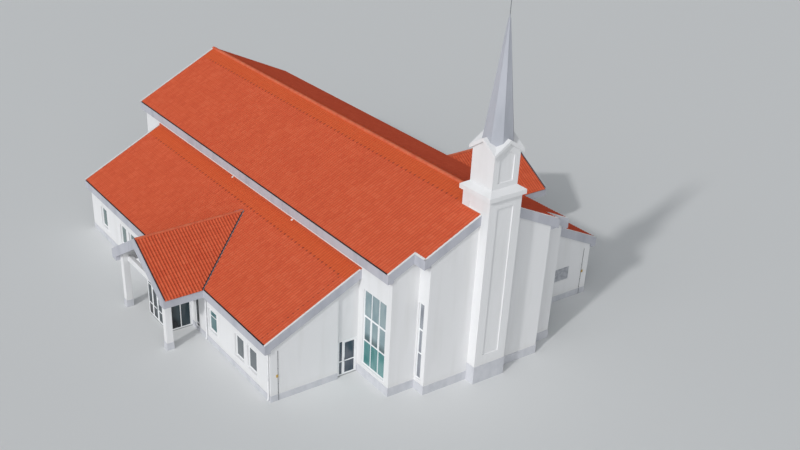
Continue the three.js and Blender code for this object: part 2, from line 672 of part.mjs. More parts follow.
// One sheet inside the wall closes its windows on each side of the lobby.
function wingGlass(name, side) {
  const [x0, x1] = [side * (WING_HALF - WALL - PANE), side * (WING_HALF - WALL)];
  const rim = GLASS_RIM;
  const reach = WINDOW_HALF + rim;
  const row = (mids) => [Math.min(...mids) - reach, Math.max(...mids) + reach];
  const front = row(WINDOW_MIDS.filter((y) => y < PORCH_MID));
  const back = row(WINDOW_MIDS.filter((y) => y > PORCH_MID));
  const level = [SILL_Z - rim, HEAD_Z + rim];
  const slot = box(x0, x1, SLOT.y0 - rim, SLOT.y1 + rim, SLOT.z0 - rim, SLOT.z1 + rim);
  add(`wing_glass_front_${name}`, join(box(x0, x1, front[0], SLOT.y0, ...level), slot), glazed);
  add(`wing_glass_back_${name}`, box(x0, x1, ...back, ...level), glazed);
}

function louvre() {
  const { x0, x1, z0, z1 } = LOUVRE;
  const outside = WING_FRONT + WINDOW_INSET / 2;
  const inside = outside + FRAME_DEEP;
  const bar = LOUVRE_BAR;
  const rim = [
    box(x0, x0 + bar, outside, inside, z0, z1),
    box(x1 - bar, x1, outside, inside, z0, z1),
    box(x0, x1, outside, inside, z0, z0 + bar),
    box(x0, x1, outside, inside, z1 - bar, z1),
  ];
  const pitch = (z1 - z0) / (LOUVRE_BLADES + 1);
  const blades = [...Array(LOUVRE_BLADES).keys()].map((i) => {
    const low = z0 + (i + 1) * pitch - pitch / 2;
    const high = low + pitch;
    const outline = [
      [outside, low],
      [outside, low + BLADE_THICK],
      [inside, high],
      [inside, high - BLADE_THICK],
    ];
    return alongX(outline, x0 + SINK, x1 - SINK);
  });
  add('louvre', join(rim, blades), sheetMetal);
}

function tower() {
  const [y0, y1] = [TOWER_MID - TOWER_HALF, TOWER_BACK];
  const hollow = TOWER_HALF - TOWER_WALL;
  const shaft = box(-TOWER_HALF, TOWER_HALF, y0, y1, 0, SHAFT_TOP);
  const reach = TOWER_HALF + BAND;
  const plinth = box(-reach, reach, y0 - BAND, STEP_FRONT, 0, TOWER_PLINTH);
  const inside = box(-hollow, hollow, y0 + TOWER_WALL, y1 - TOWER_WALL, FLOOR, SHAFT_TOP + SINK);
  const panel = box(-PANEL_HALF, PANEL_HALF, y0 - SINK, y0 + PANEL_DEEP, ...PANEL_Z);
  const aboveRoof = [hallTop(TOWER_HALF) + BOARD, PANEL_Z[1]];
  const cheeks = [-1, 1].map((side) => box(
    side * (TOWER_HALF - PANEL_DEEP),
    side * (TOWER_HALF + SINK),
    TOWER_MID - PANEL_HALF,
    TOWER_MID + PANEL_HALF,
    ...aboveRoof,
  ));
  add('tower_shaft', cut(join(shaft, plinth), inside, panel, cheeks), render);

  const [low, high] = [TOWER_MID - CORNICE_HALF, TOWER_MID + CORNICE_HALF];
  const lip = box(-CORNICE_HALF, CORNICE_HALF, low, high, SHAFT_TOP, CORNICE_LIP_Z);
  const corners = [CORNICE_HALF * Math.SQRT2, BELFRY_HALF * Math.SQRT2];
  const level = [CORNICE_LIP_Z, CORNICE_TOP];
  const halfTurn = Math.PI / CORNICE_SIDES;
  const weathering = turned(0, TOWER_MID, ...corners, ...level, CORNICE_SIDES, halfTurn);
  add('tower_cornice', join(lip, weathering), render);
}

// The outline of a gabled block, symmetrical about zero, moved by "mid" and topped by the given slope.
function gabled(mid, half, low, peak, rise) {
  const eave = peak - rise * half;
  return [[mid - half, low], [mid + half, low], [mid + half, eave], [mid, peak], [mid - half, eave]];
}

// The crossing of two gabled blocks over the tower.
function crossing(half, reach, low, peak, rise) {
  return join(
    alongY(gabled(0, half, low, peak, rise), TOWER_MID - reach, TOWER_MID + reach),
    alongX(gabled(TOWER_MID, half, low, peak, rise), -reach, reach),
  );
}

function belfry() {
  const rise = (GABLE_PEAK_Z - GABLE_EAVE_Z) / GABLE_HALF;
  const under = GABLE_PEAK_Z - GABLE_THICK;
  const body = crossing(BELFRY_HALF, BELFRY_HALF, CORNICE_TOP, under - GAP, rise);
  const hollow = BELFRY_HALF - BELFRY_WALL;
  const depth = [TOWER_MID - hollow, TOWER_MID + hollow];
  const inside = box(-hollow, hollow, ...depth, CORNICE_TOP - SINK, BELFRY_TOP - BELFRY_WALL);
  const half = BELFRY_PANEL_HALF;
  const [low, high] = BELFRY_PANEL_Z;
  const panel = gabled(0, half, low, high + rise * half, rise);
  const [a, b] = [BELFRY_HALF - PANEL_DEEP, BELFRY_HALF + SINK];
  const panels = [
    alongY(panel, TOWER_MID - b, TOWER_MID - a),
    alongY(panel, TOWER_MID + a, TOWER_MID + b),
  ];
  add('belfry', cut(body, inside, panels), render);

  const roofs = crossing(GABLE_HALF, GABLE_HALF, GABLE_EAVE_Z - GABLE_THICK, GABLE_PEAK_Z, rise);
  const eaveCut = crossing(GABLE_HALF + SINK, GABLE_HALF + SINK, CORNICE_TOP, under, rise);
  add('belfry_gables', cut(roofs, eaveCut), boardPaint);

  const radii = [SPIRE_BASE_R, SPIRE_TIP_R];
  const halfTurn = Math.PI / SPIRE_SIDES;
  const spire = turned(0, TOWER_MID, ...radii, SPIRE_BASE_Z, SPIRE_TIP_Z, SPIRE_SIDES, halfTurn);
  const seat = crossing(GABLE_HALF + SINK, GABLE_HALF + SINK, CORNICE_TOP, GABLE_PEAK_Z + GAP, rise);
  add('spire', cut(spire, seat), sheetMetal);
  const rod = turned(0, TOWER_MID, ROD_R, ROD_R / 2, SPIRE_TIP_Z, ROD_TOP, ROD_SIDES);
  add('lightning_rod', rod, steel);
}

hallFloor();
backWall();
for (const [name, side] of SIDES) {
  wingFloor(name, side);
  hallWall(name, side);
  frontWall(name, side);
  wingWall(name, side);
  wingFrontWall(name, side);
  wingFrontHeader(name, side);
  wingBackWall(name, side);
  mainRoof(name, side);
  mainFascia(name, side);
  wingRoof(name, side);
  wingFascia(name, side);
  porchRoof(name, side);
  porchFascia(name, side);
  porchFrame(name, side);
  vestibule(name, side);
  sideDoorFrame(name, side);
  tallWindow(name, side);
  narrowWindow(name, side);
  wingGlass(name, side);
}
entranceLeaves();
sideDoorLeaf();
louvre();
tower();
belfry();

export default church;
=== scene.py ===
"""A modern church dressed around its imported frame: camera and light, then each piece as it is put up."""

import bmesh
import bpy
import numpy as np
from mathutils import Matrix, Vector


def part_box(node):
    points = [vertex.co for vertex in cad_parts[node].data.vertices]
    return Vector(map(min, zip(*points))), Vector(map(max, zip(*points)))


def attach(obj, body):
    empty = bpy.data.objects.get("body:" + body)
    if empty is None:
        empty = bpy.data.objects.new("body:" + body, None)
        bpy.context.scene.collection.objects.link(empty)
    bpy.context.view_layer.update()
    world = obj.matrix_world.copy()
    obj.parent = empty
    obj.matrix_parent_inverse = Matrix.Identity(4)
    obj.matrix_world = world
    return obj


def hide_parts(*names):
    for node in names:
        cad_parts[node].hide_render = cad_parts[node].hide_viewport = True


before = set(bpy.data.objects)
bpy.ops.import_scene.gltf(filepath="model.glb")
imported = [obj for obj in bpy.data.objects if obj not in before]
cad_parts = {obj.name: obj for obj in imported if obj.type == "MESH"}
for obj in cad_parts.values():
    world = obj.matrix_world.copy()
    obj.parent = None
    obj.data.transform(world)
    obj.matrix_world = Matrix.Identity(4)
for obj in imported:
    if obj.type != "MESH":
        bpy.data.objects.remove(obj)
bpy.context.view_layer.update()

# Camera
# The photograph is a cropped aerial view from the front left, so the lens axis is off its middle,
# and the lens shift brings that back. The angles were solved from the building's straight edges.
CAMERA_PLACE = Vector((-35.366, -53.488, 34.770))
CAMERA_TURN, CAMERA_TILT, CAMERA_ROLL = np.radians([29.003, -30.530, -1.429])
FOCAL_PX, PHOTO_WIDE, PHOTO_TALL = 1055.37, 800, 450
AXIS_PX = (259.66, 301.39)
SENSOR_MM = 36.0
FAR_CLIP = 500

level = np.cos(CAMERA_TILT)
ahead = Vector((np.sin(CAMERA_TURN) * level, np.cos(CAMERA_TURN) * level, np.sin(CAMERA_TILT)))
right = ahead.cross(Vector((0, 0, 1))).normalized()
above = right.cross(ahead)
rolled_right = right * np.cos(CAMERA_ROLL) + above * np.sin(CAMERA_ROLL)
rolled_up = above * np.cos(CAMERA_ROLL) - right * np.sin(CAMERA_ROLL)
turned = Matrix((rolled_right, rolled_up, -ahead)).transposed().to_4x4()
camera = bpy.data.objects.new("camera", bpy.data.cameras.new("camera"))
camera.data.sensor_width = SENSOR_MM
camera.data.lens = SENSOR_MM * FOCAL_PX / PHOTO_WIDE
camera.data.shift_x = (PHOTO_WIDE / 2 - AXIS_PX[0]) / PHOTO_WIDE
camera.data.shift_y = (AXIS_PX[1] - PHOTO_TALL / 2) / PHOTO_WIDE
camera.data.clip_end = FAR_CLIP
camera.matrix_world = Matrix.Translation(CAMERA_PLACE) @ turned
bpy.context.scene.collection.objects.link(camera)
bpy.context.scene.camera = camera

# Light
# A hazy sun stands low on the left. Its direction was solved from the shadows of the tower and of the
# porch columns. A wide glow around it and a pale blue surround give most of the light. Colours go to
# the picture as they are, with no film curve.
LIGHTS = {
    "hazy_sun": ((-0.805, -0.285, 0.52), 1.30, 3),
    "wide_glow": ((-0.66, -0.60, 0.46), 1.48, 80),
}
SURROUND = (0.86, 0.93, 1.0, 1.0)
SURROUND_STRENGTH = 0.27

for light_name, (comes_from, strength, spread) in LIGHTS.items():
    light = bpy.data.objects.new(light_name, bpy.data.lights.new(light_name, "SUN"))
    light.data.energy = strength
    light.data.angle = np.radians(spread)
    light.rotation_euler = Vector(comes_from).to_track_quat("Z", "Y").to_euler()
    bpy.context.scene.collection.objects.link(light)
world = bpy.data.worlds.new("surround")
world.use_nodes = True
world.node_tree.nodes["Background"].inputs["Color"].default_value = SURROUND
world.node_tree.nodes["Background"].inputs["Strength"].default_value = SURROUND_STRENGTH
bpy.context.scene.world = world
bpy.context.scene.view_settings.view_transform = "Standard"

# Studio floor
# A plain pale matt floor under the whole building, just below its base.
FLOOR_REACH = 400.0
FLOOR_DROP = 0.002
FLOOR_GREY = "#DCDDDD"
MERGE = 1e-5


def linear(hex_colour):
    """sRGB hex to linear colour: a straight line near black and a power of 2.4 above it."""
    srgb = np.array([int(hex_colour[i:i + 2], 16) for i in (1, 3, 5)]) / 255
    mixed = np.where(srgb <= 0.04045, srgb / 12.92, ((srgb + 0.055) / 1.055) ** 2.4)
    return (*mixed, 1.0)


def surface(name, **sockets):
    """A material with one principled shader, whose steady values are set on its own sockets."""
    material = bpy.data.materials.new(name)
    material.use_nodes = True
    shader = material.node_tree.nodes["Principled BSDF"]
    for socket, value in sockets.items():
        shader.inputs[socket.replace("_", " ")].default_value = value
    return material, material.node_tree, shader


def build(name, parts, material, uv=None):
    """Make one mesh object at the origin from parts, each whole arrays of corners and groups of faces."""
    starts = np.cumsum([0] + [len(corners) for corners, _ in parts])
    corners = np.concatenate([part[0] for part in parts])
    groups = [group + start for (_, found), start in zip(parts, starts) for group in found if len(group)]
    loops = np.concatenate([group.ravel() for group in groups]).astype(np.int32)
    sizes = np.concatenate([np.full(len(group), group.shape[1]) for group in groups])
    mesh = bpy.data.meshes.new(name)
    mesh.vertices.add(len(corners))
    mesh.loops.add(len(loops))
    mesh.polygons.add(len(sizes))
    mesh.vertices.foreach_set("co", corners.astype(np.float32).ravel())
    mesh.loops.foreach_set("vertex_index", loops)
    first_loops = np.concatenate([[0], np.cumsum(sizes)[:-1]]).astype(np.int32)
    mesh.polygons.foreach_set("loop_start", first_loops)
    if uv is not None:
        layer = mesh.uv_layers.new(name="UVMap")
        layer.data.foreach_set("uv", uv[loops].astype(np.float32).ravel())
    mesh.update(calc_edges=True)
    solid = bmesh.new()
    solid.from_mesh(mesh)
    bmesh.ops.remove_doubles(solid, verts=solid.verts, dist=MERGE)
    bmesh.ops.recalc_face_normals(solid, faces=solid.faces)
    solid.to_mesh(mesh)
    solid.free()
    mesh.shade_flat()
    mesh.materials.append(material)
    piece = bpy.data.objects.new(name, mesh)
    bpy.context.scene.collection.objects.link(piece)
    return piece


plain_floor, _, _ = surface("plain_floor", Base_Color=linear(FLOOR_GREY), Roughness=0.9)
square = np.array([[-1, -1, 0], [1, -1, 0], [1, 1, 0], [-1, 1, 0]])
floor_corners = square * FLOOR_REACH - [0, 0, FLOOR_DROP]
build("studio_floor", [(floor_corners, [np.array([[0, 1, 2, 3]])])], plain_floor)

# Rendered walls, columns and tower
# Hollow brick with a skimmed cement render, painted matt white, and a pale grey painted plinth that
# is 30 mm proud. Rain leaves faint upright streaks, and the foot is a little dirtier.
WALL_WHITE, WALL_STREAK, WALL_DUST = "#E5E5E6", "#DDDDDD", "#D5D3D0"
PLINTH_GREY, PLINTH_MARK = "#CCCDD2", "#BEC0C6"
LEDGE = 0.003
FOOT_BAND = 0.45
SIDES = {"left": -1, "right": 1}
WING_WALLS = ("wall", "front_wall", "front_header", "back_wall")
PLINTHS = {
    0.55: [f"{wall}_{side}" for wall in ("hall_wall", "front_wall") for side in SIDES] + ["hall_back_wall"],
    0.39: [f"wing_{wall}_{side}" for wall in WING_WALLS for side in SIDES],
    0.48: [f"porch_frame_{side}" for side in SIDES],
    1.12: ["tower_shaft", "tower_cornice", "belfry"],
}
# A mix in colour takes its share on input 0 and its colours on 6 and 7, and gives output 2.
IN_COLOUR = {"out": 2, "data_type": "RGBA"}


def add(tree, kind, sockets=None, out=0, **settings):
    """Add a node with its settings, and give back one of its outputs. Each input named in sockets
    takes a value, or a link where it is given a socket."""
    node = tree.nodes.new(kind)
    for setting, value in settings.items():
        setattr(node, setting, value)
    for socket, value in (sockets or {}).items():
        if isinstance(value, bpy.types.NodeSocket):
            tree.links.new(value, node.inputs[socket])
        else:
            node.inputs[socket].default_value = value
    return node.outputs[out]


def clouds(tree, scale, stretch=(1, 1, 1), detail=3.0):
    """Soft noise on the piece's own place in metres, stretched, with its cells about 1 / scale wide."""
    own = add(tree, "ShaderNodeTexCoord", out="Object")
    stretched = add(tree, "ShaderNodeMapping", {"Vector": own, "Scale": stretch})
    return add(tree, "ShaderNodeTexNoise", {"Vector": stretched, "Scale": scale, "Detail": detail})


def painted_render(plinth_top):
    """White painted render over a grey plinth: trowel marks about 60 mm across and 0.6 mm high."""
    material, tree, shader = surface(f"painted_render_{int(plinth_top * 100)}", Roughness=0.82)
    own = add(tree, "ShaderNodeTexCoord", out="Object")
    height = add(tree, "ShaderNodeSeparateXYZ", {"Vector": own}, out="Z")
    rain = clouds(tree, scale=1.6, stretch=(1, 1, 0.12))
    streaks = {"Value": rain, "From Min": 0.5, "From Max": 0.75, "To Max": 0.7}
    streaked = {0: add(tree, "ShaderNodeMapRange", streaks), 6: linear(WALL_WHITE), 7: linear(WALL_STREAK)}
    white = add(tree, "ShaderNodeMix", streaked, **IN_COLOUR)
    splash = {"Value": height, "From Min": plinth_top + FOOT_BAND, "From Max": plinth_top, "To Max": 0.5}
    patches = {0: add(tree, "ShaderNodeMapRange", splash), 1: clouds(tree, scale=2.2)}
    patchy = add(tree, "ShaderNodeMath", patches, operation="MULTIPLY")
    dusty = add(tree, "ShaderNodeMix", {0: patchy, 6: white, 7: linear(WALL_DUST)}, **IN_COLOUR)
    scuffs = {"Value": clouds(tree, scale=2.0, stretch=(1, 1, 0.5)), "From Min": 0.4, "From Max": 0.75}
    scuffed = {0: add(tree, "ShaderNodeMapRange", scuffs), 6: linear(PLINTH_GREY), 7: linear(PLINTH_MARK)}
    grey = add(tree, "ShaderNodeMix", scuffed, **IN_COLOUR)
    is_wall = add(tree, "ShaderNodeMath", {0: height, 1: plinth_top + LEDGE}, operation="GREATER_THAN")
    colour = add(tree, "ShaderNodeMix", {0: is_wall, 6: grey, 7: dusty}, **IN_COLOUR)
    tree.links.new(colour, shader.inputs["Base Color"])
    relief = {"Height": clouds(tree, scale=16.0, detail=5.0), "Distance": 0.0006, "Strength": 0.6}
    tree.links.new(add(tree, "ShaderNodeBump", relief), shader.inputs["Normal"])
    return material


def mottled(name, tones, scale, span, stretch=(1, 1, 1), detail=3.0, share=1.0, grain=None, **sockets):
    """A finish of two tones in soft clouds: noise over a span mixes the first into the second. The
    grain is a bump of finer noise, as its scale, its height in metres and its strength."""
    material, tree, shader = surface(name, **sockets)
    cloud = clouds(tree, scale, stretch, detail)
    spread = {"Value": cloud, "From Min": span[0], "From Max": span[1], "To Max": share}
    toned = {0: add(tree, "ShaderNodeMapRange", spread), 6: linear(tones[0]), 7: linear(tones[1])}
    tree.links.new(add(tree, "ShaderNodeMix", toned, **IN_COLOUR), shader.inputs["Base Color"])
    if grain:
        fine, distance, strength = grain
        relief = {"Height": clouds(tree, fine), "Distance": distance, "Strength": strength}
        tree.links.new(add(tree, "ShaderNodeBump", relief), shader.inputs["Normal"])
    return material


def dress(nodes, material):
    """Give CAD nodes a material in place of their plain one."""
    for node in nodes:
        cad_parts[node].data.materials.clear()
        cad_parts[node].data.materials.append(material)


for plinth_top, nodes in PLINTHS.items():
    dress(nodes, painted_render(plinth_top))

# Floors
# Steel trowelled concrete, which shows through the open doors as a cool grey with darker clouds.
CONCRETE = ("#B7B8B8", "#989A9B")
TROWEL_GRAIN = (40.0, 0.0004, 0.5)

trowelled = mottled(
    "trowelled_concrete", CONCRETE, scale=0.7, span=(0.35, 0.7), detail=5.0,
    grain=TROWEL_GRAIN, Roughness=0.6
)
dress(["hall_floor", "wing_floor_left", "wing_floor_right"], trowelled)

# Eave boards and verges
# Boxed eaves and verge boards of fibre cement, filled and painted a light cool grey, with weathered
# patches and a fine sheet joint every 2.4 m.
BOARD_GREY, BOARD_WORN, BOARD_JOINT = "#BBBCC4", "#AAACB5", "#8E9198"
JOINT_PITCH, JOINT_WIDE = 2.4, 0.006

board_paint, tree, shader = surface("painted_fibre_cement", Roughness=0.55)
weather = clouds(tree, scale=1.1, stretch=(1, 1, 0.3), detail=4.0)
worn = add(tree, "ShaderNodeMapRange", {"Value": weather, "From Min": 0.45, "From Max": 0.75})
own = add(tree, "ShaderNodeTexCoord", out="Object")
lengthwise = add(tree, "ShaderNodeSeparateXYZ", {"Vector": own}, out="Y")
along_sheet = add(tree, "ShaderNodeMath", {0: lengthwise, 1: JOINT_PITCH}, operation="MODULO")
joint = add(tree, "ShaderNodeMath", {0: along_sheet, 1: 0.0, 2: JOINT_WIDE}, operation="COMPARE")
paint = add(tree, "ShaderNodeMix", {0: worn, 6: linear(BOARD_GREY), 7: linear(BOARD_WORN)}, **IN_COLOUR)
colour = add(tree, "ShaderNodeMix", {0: joint, 6: paint, 7: linear(BOARD_JOINT)}, **IN_COLOUR)
tree.links.new(colour, shader.inputs["Base Color"])
dress([f"{roof}_fascia_{side}" for roof in ("main", "wing", "porch") for side in SIDES], board_paint)

# Roof tiles
# Pressed clay, fired orange red, with one roll and one flat pan, in columns 205 mm apart and lapped
# courses of 360 mm. The last courses under the ridge and the hall wall are fresher. The slopes on the
# right lie away from the sun, and their clay is painted a deeper red as painted shade.
TILE_WIDE, COURSE = 0.205, 0.36
PAN_UP, ROLL_UP, LAP_UP = 0.004, 0.045, 0.014
LAP_RUN = 0.004
EAVE_OVER = 0.045
ROLL_HALF = 0.27
PROFILE_AT = np.array([0.0, 0.2, 0.25, 0.33, 0.5, 0.67, 0.75, 0.8])
TILE_RED, TILE_PALE, TILE_DARK = "#D1603F", "#D66746", "#C85639"
TILE_SHADE, TILE_FRESH = "#B04A30", "#CF5D2E"
PAN_FROM, PAN_TO, PAN_SHADE = 0.2, 0.33, 0.28
LAP_FROM, LAP_TO, LAP_SHADE = 0.86, 0.95, 0.35
FRESH_MIDS, FRESH_HALF, FRESH_SHARE = (6.57, 10.66), 0.215, 0.6
PLAIN_TINT, SHADED_SIDE_TINT = (1.0, 1.0, 1.0, 1.0), (0.95, 0.75, 0.73, 1.0)


def profile(turns):
    """Height of a tile over its pan: half an ellipse over the roll, else nothing. Turns count tiles."""
    off_middle = np.abs(np.mod(turns, 1.0) - 0.5) / ROLL_HALF
    return ROLL_UP * np.sqrt(np.clip(1 - off_middle ** 2, 0, None))


def tile_field(foot, along, uphill, near, far, low, top):
    """Tiles on a slope as one closed solid. The foot is a point on the eave line; near and far are
    distances along it. Low and top are distances up the slope, or functions of the distance along.
    Height is the roll's profile plus a saw tooth that rises down each course."""
    columns = np.arange(np.floor(near / TILE_WIDE) - 1, np.ceil(far / TILE_WIDE) + 1)
    u = np.unique(np.clip((columns[:, None] + PROFILE_AT).ravel() * TILE_WIDE, near, far))
    floor, limit = [edge(u) if callable(edge) else np.full(len(u), edge) for edge in (low, top)]
    courses = np.arange(np.floor(floor.min() / COURSE), np.ceil(limit.max() / COURSE) + 1) * COURSE
    rows = np.sort(np.concatenate([courses, courses + LAP_RUN]))
    lift = np.where(np.isin(rows, courses), 0.0, LAP_UP)
    kept = np.unique(np.clip(rows, floor.min(), limit.max()))
    s = np.clip(kept[:, None], floor[None, :], limit[None, :])
    h = PAN_UP + profile(u / TILE_WIDE)[None, :] + np.interp(s, rows, lift)
    normal = np.cross(along, uphill)
    normal = normal * np.sign(normal[2])
    flat = np.asarray(foot) + u[None, :, None] * np.asarray(along) + s[..., None] * np.asarray(uphill)
    upper = flat + h[..., None] * normal
    index = np.arange(s.size).reshape(s.shape)
    rim = np.concatenate([index[0], index[1:, -1], index[-1, -2::-1], index[-2:0:-1, 0]])
    below = s.size + np.arange(len(rim))
    quads = np.stack([index[:-1, :-1], index[:-1, 1:], index[1:, 1:], index[1:, :-1]], -1).reshape(-1, 4)
    skirt = np.stack([rim, np.roll(rim, -1), np.roll(below, -1), below], -1)
    corners = np.concatenate([upper.reshape(-1, 3), flat.reshape(-1, 3)[rim]])
    spread = np.stack([np.broadcast_to(u / TILE_WIDE, s.shape), s / COURSE], -1).reshape(-1, 2)
    return corners, [quads, skirt, below[None]], np.concatenate([spread, spread[rim]])


def fired_clay(name, tint):
    """Fired clay: each tile its own tone, from its column and course, with shade in its pan and laps.
    All of it is multiplied by a linear tint."""
    material, tree, shader = surface(name, Roughness=0.8, Specular_IOR_Level=0.15)
    cell = add(tree, "ShaderNodeUVMap", uv_map="UVMap")
    tile_number = add(tree, "ShaderNodeVectorMath", {0: cell}, operation="FLOOR")
    tone = add(tree, "ShaderNodeTexWhiteNoise", {"Vector": tile_number}, out="Value")
    is_pale = add(tree, "ShaderNodeMapRange", {"Value": tone, "From Min": 0.5, "From Max": 1.0})
    pale = add(tree, "ShaderNodeMix", {0: is_pale, 6: linear(TILE_RED), 7: linear(TILE_PALE)}, **IN_COLOUR)
    darker = {"Value": tone, "From Min": 0.3, "From Max": 0.0, "To Max": 0.6}
    darkened = {0: add(tree, "ShaderNodeMapRange", darker), 6: pale, 7: linear(TILE_DARK)}
    dark = add(tree, "ShaderNodeMix", darkened, **IN_COLOUR)
    kiln = clouds(tree, scale=0.4, detail=4.0)
    burn = {"Value": kiln, "From Min": 0.45, "From Max": 0.75, "To Max": 0.35}
    burnt = {0: add(tree, "ShaderNodeMapRange", burn), 6: dark, 7: linear(TILE_DARK)}
    clouded = add(tree, "ShaderNodeMix", burnt, **IN_COLOUR)
    own = add(tree, "ShaderNodeTexCoord", out="Object")
    height = add(tree, "ShaderNodeSeparateXYZ", {"Vector": own}, out="Z")
    zones = [
        add(tree, "ShaderNodeMath", {0: height, 1: middle, 2: FRESH_HALF}, operation="COMPARE")
        for middle in FRESH_MIDS
    ]
    in_zone = add(tree, "ShaderNodeMath", dict(enumerate(zones)), operation="ADD")
    is_fresh = add(tree, "ShaderNodeMath", {0: in_zone, 1: FRESH_SHARE}, operation="MULTIPLY")
    toned = add(tree, "ShaderNodeMix", {0: is_fresh, 6: clouded, 7: linear(TILE_FRESH)}, **IN_COLOUR)
    within = add(tree, "ShaderNodeVectorMath", {0: cell}, operation="FRACTION")
    across, down = add(tree, "ShaderNodeSeparateXYZ", {"Vector": within}).node.outputs[:2]
    off_middle = add(tree, "ShaderNodeMath", {0: across, 1: 0.5}, operation="SUBTRACT")
    off_roll = add(tree, "ShaderNodeMath", {0: off_middle}, operation="ABSOLUTE")
    pan = {"Value": off_roll, "From Min": PAN_FROM, "From Max": PAN_TO, "To Max": PAN_SHADE}
    lap = {"Value": down, "From Min": LAP_FROM, "From Max": LAP_TO, "To Max": LAP_SHADE}
    shades = [add(tree, "ShaderNodeMapRange", shade) for shade in (pan, lap)]
    in_shade = add(tree, "ShaderNodeMath", dict(enumerate(shades)), operation="MAXIMUM")
    shaded = add(tree, "ShaderNodeMix", {0: in_shade, 6: toned, 7: linear(TILE_SHADE)}, **IN_COLOUR)
    tinting = {0: 1.0, 6: shaded, 7: tint}
    tinted = add(tree, "ShaderNodeMix", tinting, blend_type="MULTIPLY", **IN_COLOUR)
    tree.links.new(tinted, shader.inputs["Base Color"])
    relief = {"Height": clouds(tree, scale=90.0), "Distance": 0.001, "Strength": 0.5}
    tree.links.new(add(tree, "ShaderNodeBump", relief), shader.inputs["Normal"])
    return material


def box_of(node):
    """The lowest and highest corner of a CAD node as arrays."""
    return [np.array(corner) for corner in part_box(node)]


def fix(name, parts, material, slot, *replaced, body="building", uv=None):
    """Build a piece, fix it to a body, and hide the nodes that it stands for. The slot is not used."""
    piece = build(name, parts, material, uv)
    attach(piece, body)
    if replaced:
        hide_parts(*replaced)


def lay_tiles(name, fields, clay):
    """Lay fields of tiles as one piece."""
    uv = np.concatenate([field[2] for field in fields])
    fix(name, [field[:2] for field in fields], clay, "roof_tile", uv=uv)


# The right slopes take a darker tint: painted shade of the side away from the sun.
clays = {"left": fired_clay("fired_clay", PLAIN_TINT), "right": fired_clay("shaded_side_fired_clay", SHADED_SIDE_TINT)}
roof_low, roof_high = box_of("main_roof_left")
HALL_FRONT = box_of("hall_wall_left")[0][1]
TOWER_BACK = box_of("tower_shaft")[1][1]
SLAB = 0.22
BOARD = 0.1
RIDGE_Z = roof_high[2]
EAVE_X = -roof_low[0]
STEP_X = 4.541
RISE = (RIDGE_Z - roof_low[2] - SLAB) / EAVE_X
PITCH = np.arctan(RISE)
UPHILL = np.array([np.cos(PITCH), 0, np.sin(PITCH)])
TOWER_X = 1.08
MAIN_REACH = EAVE_X / np.cos(PITCH)
TOWER_REACH = MAIN_REACH - TOWER_X / np.cos(PITCH)
MAIN_STRETCHES = [
    (roof_low[1], HALL_FRONT, (EAVE_X - STEP_X) / np.cos(PITCH), TOWER_REACH),
    (HALL_FRONT, TOWER_BACK, -EAVE_OVER, TOWER_REACH),
    (TOWER_BACK, roof_high[1], -EAVE_OVER, MAIN_REACH),
]
for side_name, side in SIDES.items():
    eave = [side * EAVE_X, 0, RIDGE_Z - RISE * EAVE_X]
    lay_tiles(f"main_tiles_{side_name}", [
        tile_field(eave, [0, 1, 0], UPHILL * [-side, 1, 1], *stretch) for stretch in MAIN_STRETCHES
    ], clays[side_name])

wing_low, wing_high = box_of("wing_roof_left")
WING_X = -wing_low[0]
HALL_X = -wing_high[0]
WING_TOP_Z = wing_high[2]
WING_REACH = (WING_X - HALL_X) / np.cos(PITCH)
for side_name, side in SIDES.items():
    eave = [side * WING_X, 0, WING_TOP_Z - RISE * (WING_X - HALL_X)]
    stretch = (wing_low[1], wing_high[1], -EAVE_OVER, WING_REACH)
    field = tile_field(eave, [0, 1, 0], UPHILL * [-side, 1, 1], *stretch)
    lay_tiles(f"wing_tiles_{side_name}", [field], clays[side_name])

# Porch tiles
# The same tiles on the two small slopes of each porch, run out over the eave boards. Behind the eave
# line they stop along the valleys, where the porch roof runs down onto the wing roof.
porch_low, porch_high = box_of("porch_roof_left")
PORCH_MID = (porch_low[1] + porch_high[1]) / 2
PORCH_X = -porch_low[0]
PORCH_HALF = 3.829
PORCH_EAVE_HALF = (porch_high[1] - porch_low[1]) / 2
PORCH_RIDGE_Z = porch_high[2]
WING_EAVE_X = 12.121
PORCH_EAVE_Z = WING_TOP_Z - RISE * (WING_EAVE_X - HALL_X)
PORCH_RISE = (PORCH_RIDGE_Z - PORCH_EAVE_Z) / PORCH_HALF
PORCH_PITCH = np.arctan(PORCH_RISE)
PORCH_REACH = PORCH_EAVE_HALF / np.cos(PORCH_PITCH)
PORCH_OVER = 0.19
VALLEY_GAP = 0.05


def wing_plane(x):
    """Height of the wing's slab at a distance from the middle."""
    return WING_TOP_Z - RISE * (x - HALL_X)


RIDGE_END_X = HALL_X + (WING_TOP_Z - PORCH_RIDGE_Z) / RISE


def valley(x):
    """Distance up the porch slope to the valley at a distance from the middle of the hall."""
    half = (PORCH_RIDGE_Z - wing_plane(x)) / PORCH_RISE
    up = (PORCH_EAVE_HALF - half + VALLEY_GAP) / np.cos(PORCH_PITCH)
    return np.clip(np.where(x > WING_EAVE_X, -PORCH_OVER, up), -PORCH_OVER, PORCH_REACH)


for side_name, side in SIDES.items():
    fields = []
    for turn in (-1, 1):
        eave = [0, PORCH_MID + turn * PORCH_EAVE_HALF, PORCH_RIDGE_Z - PORCH_RISE * PORCH_EAVE_HALF]
        rising = np.array([0, -turn * np.cos(PORCH_PITCH), np.sin(PORCH_PITCH)])
        fields.append(tile_field(eave, [side, 0, 0], rising, RIDGE_END_X, PORCH_X, valley, PORCH_REACH))
    lay_tiles(f"porch_tiles_{side_name}", fields, clays["left"])

# Roof slabs
# Under the tiles the slabs carry a bed of reddish mortar, coloured near black as painted shade of the
# gaps at the roof edges. Their undersides are the painted ceilings of the hall, wings and porches.
BED_IN_SHADE, DAMP_BED_IN_SHADE, CEILING = "#4A3A38", "#332B2C", "#D9DADC"
FACES_DOWN = -0.1
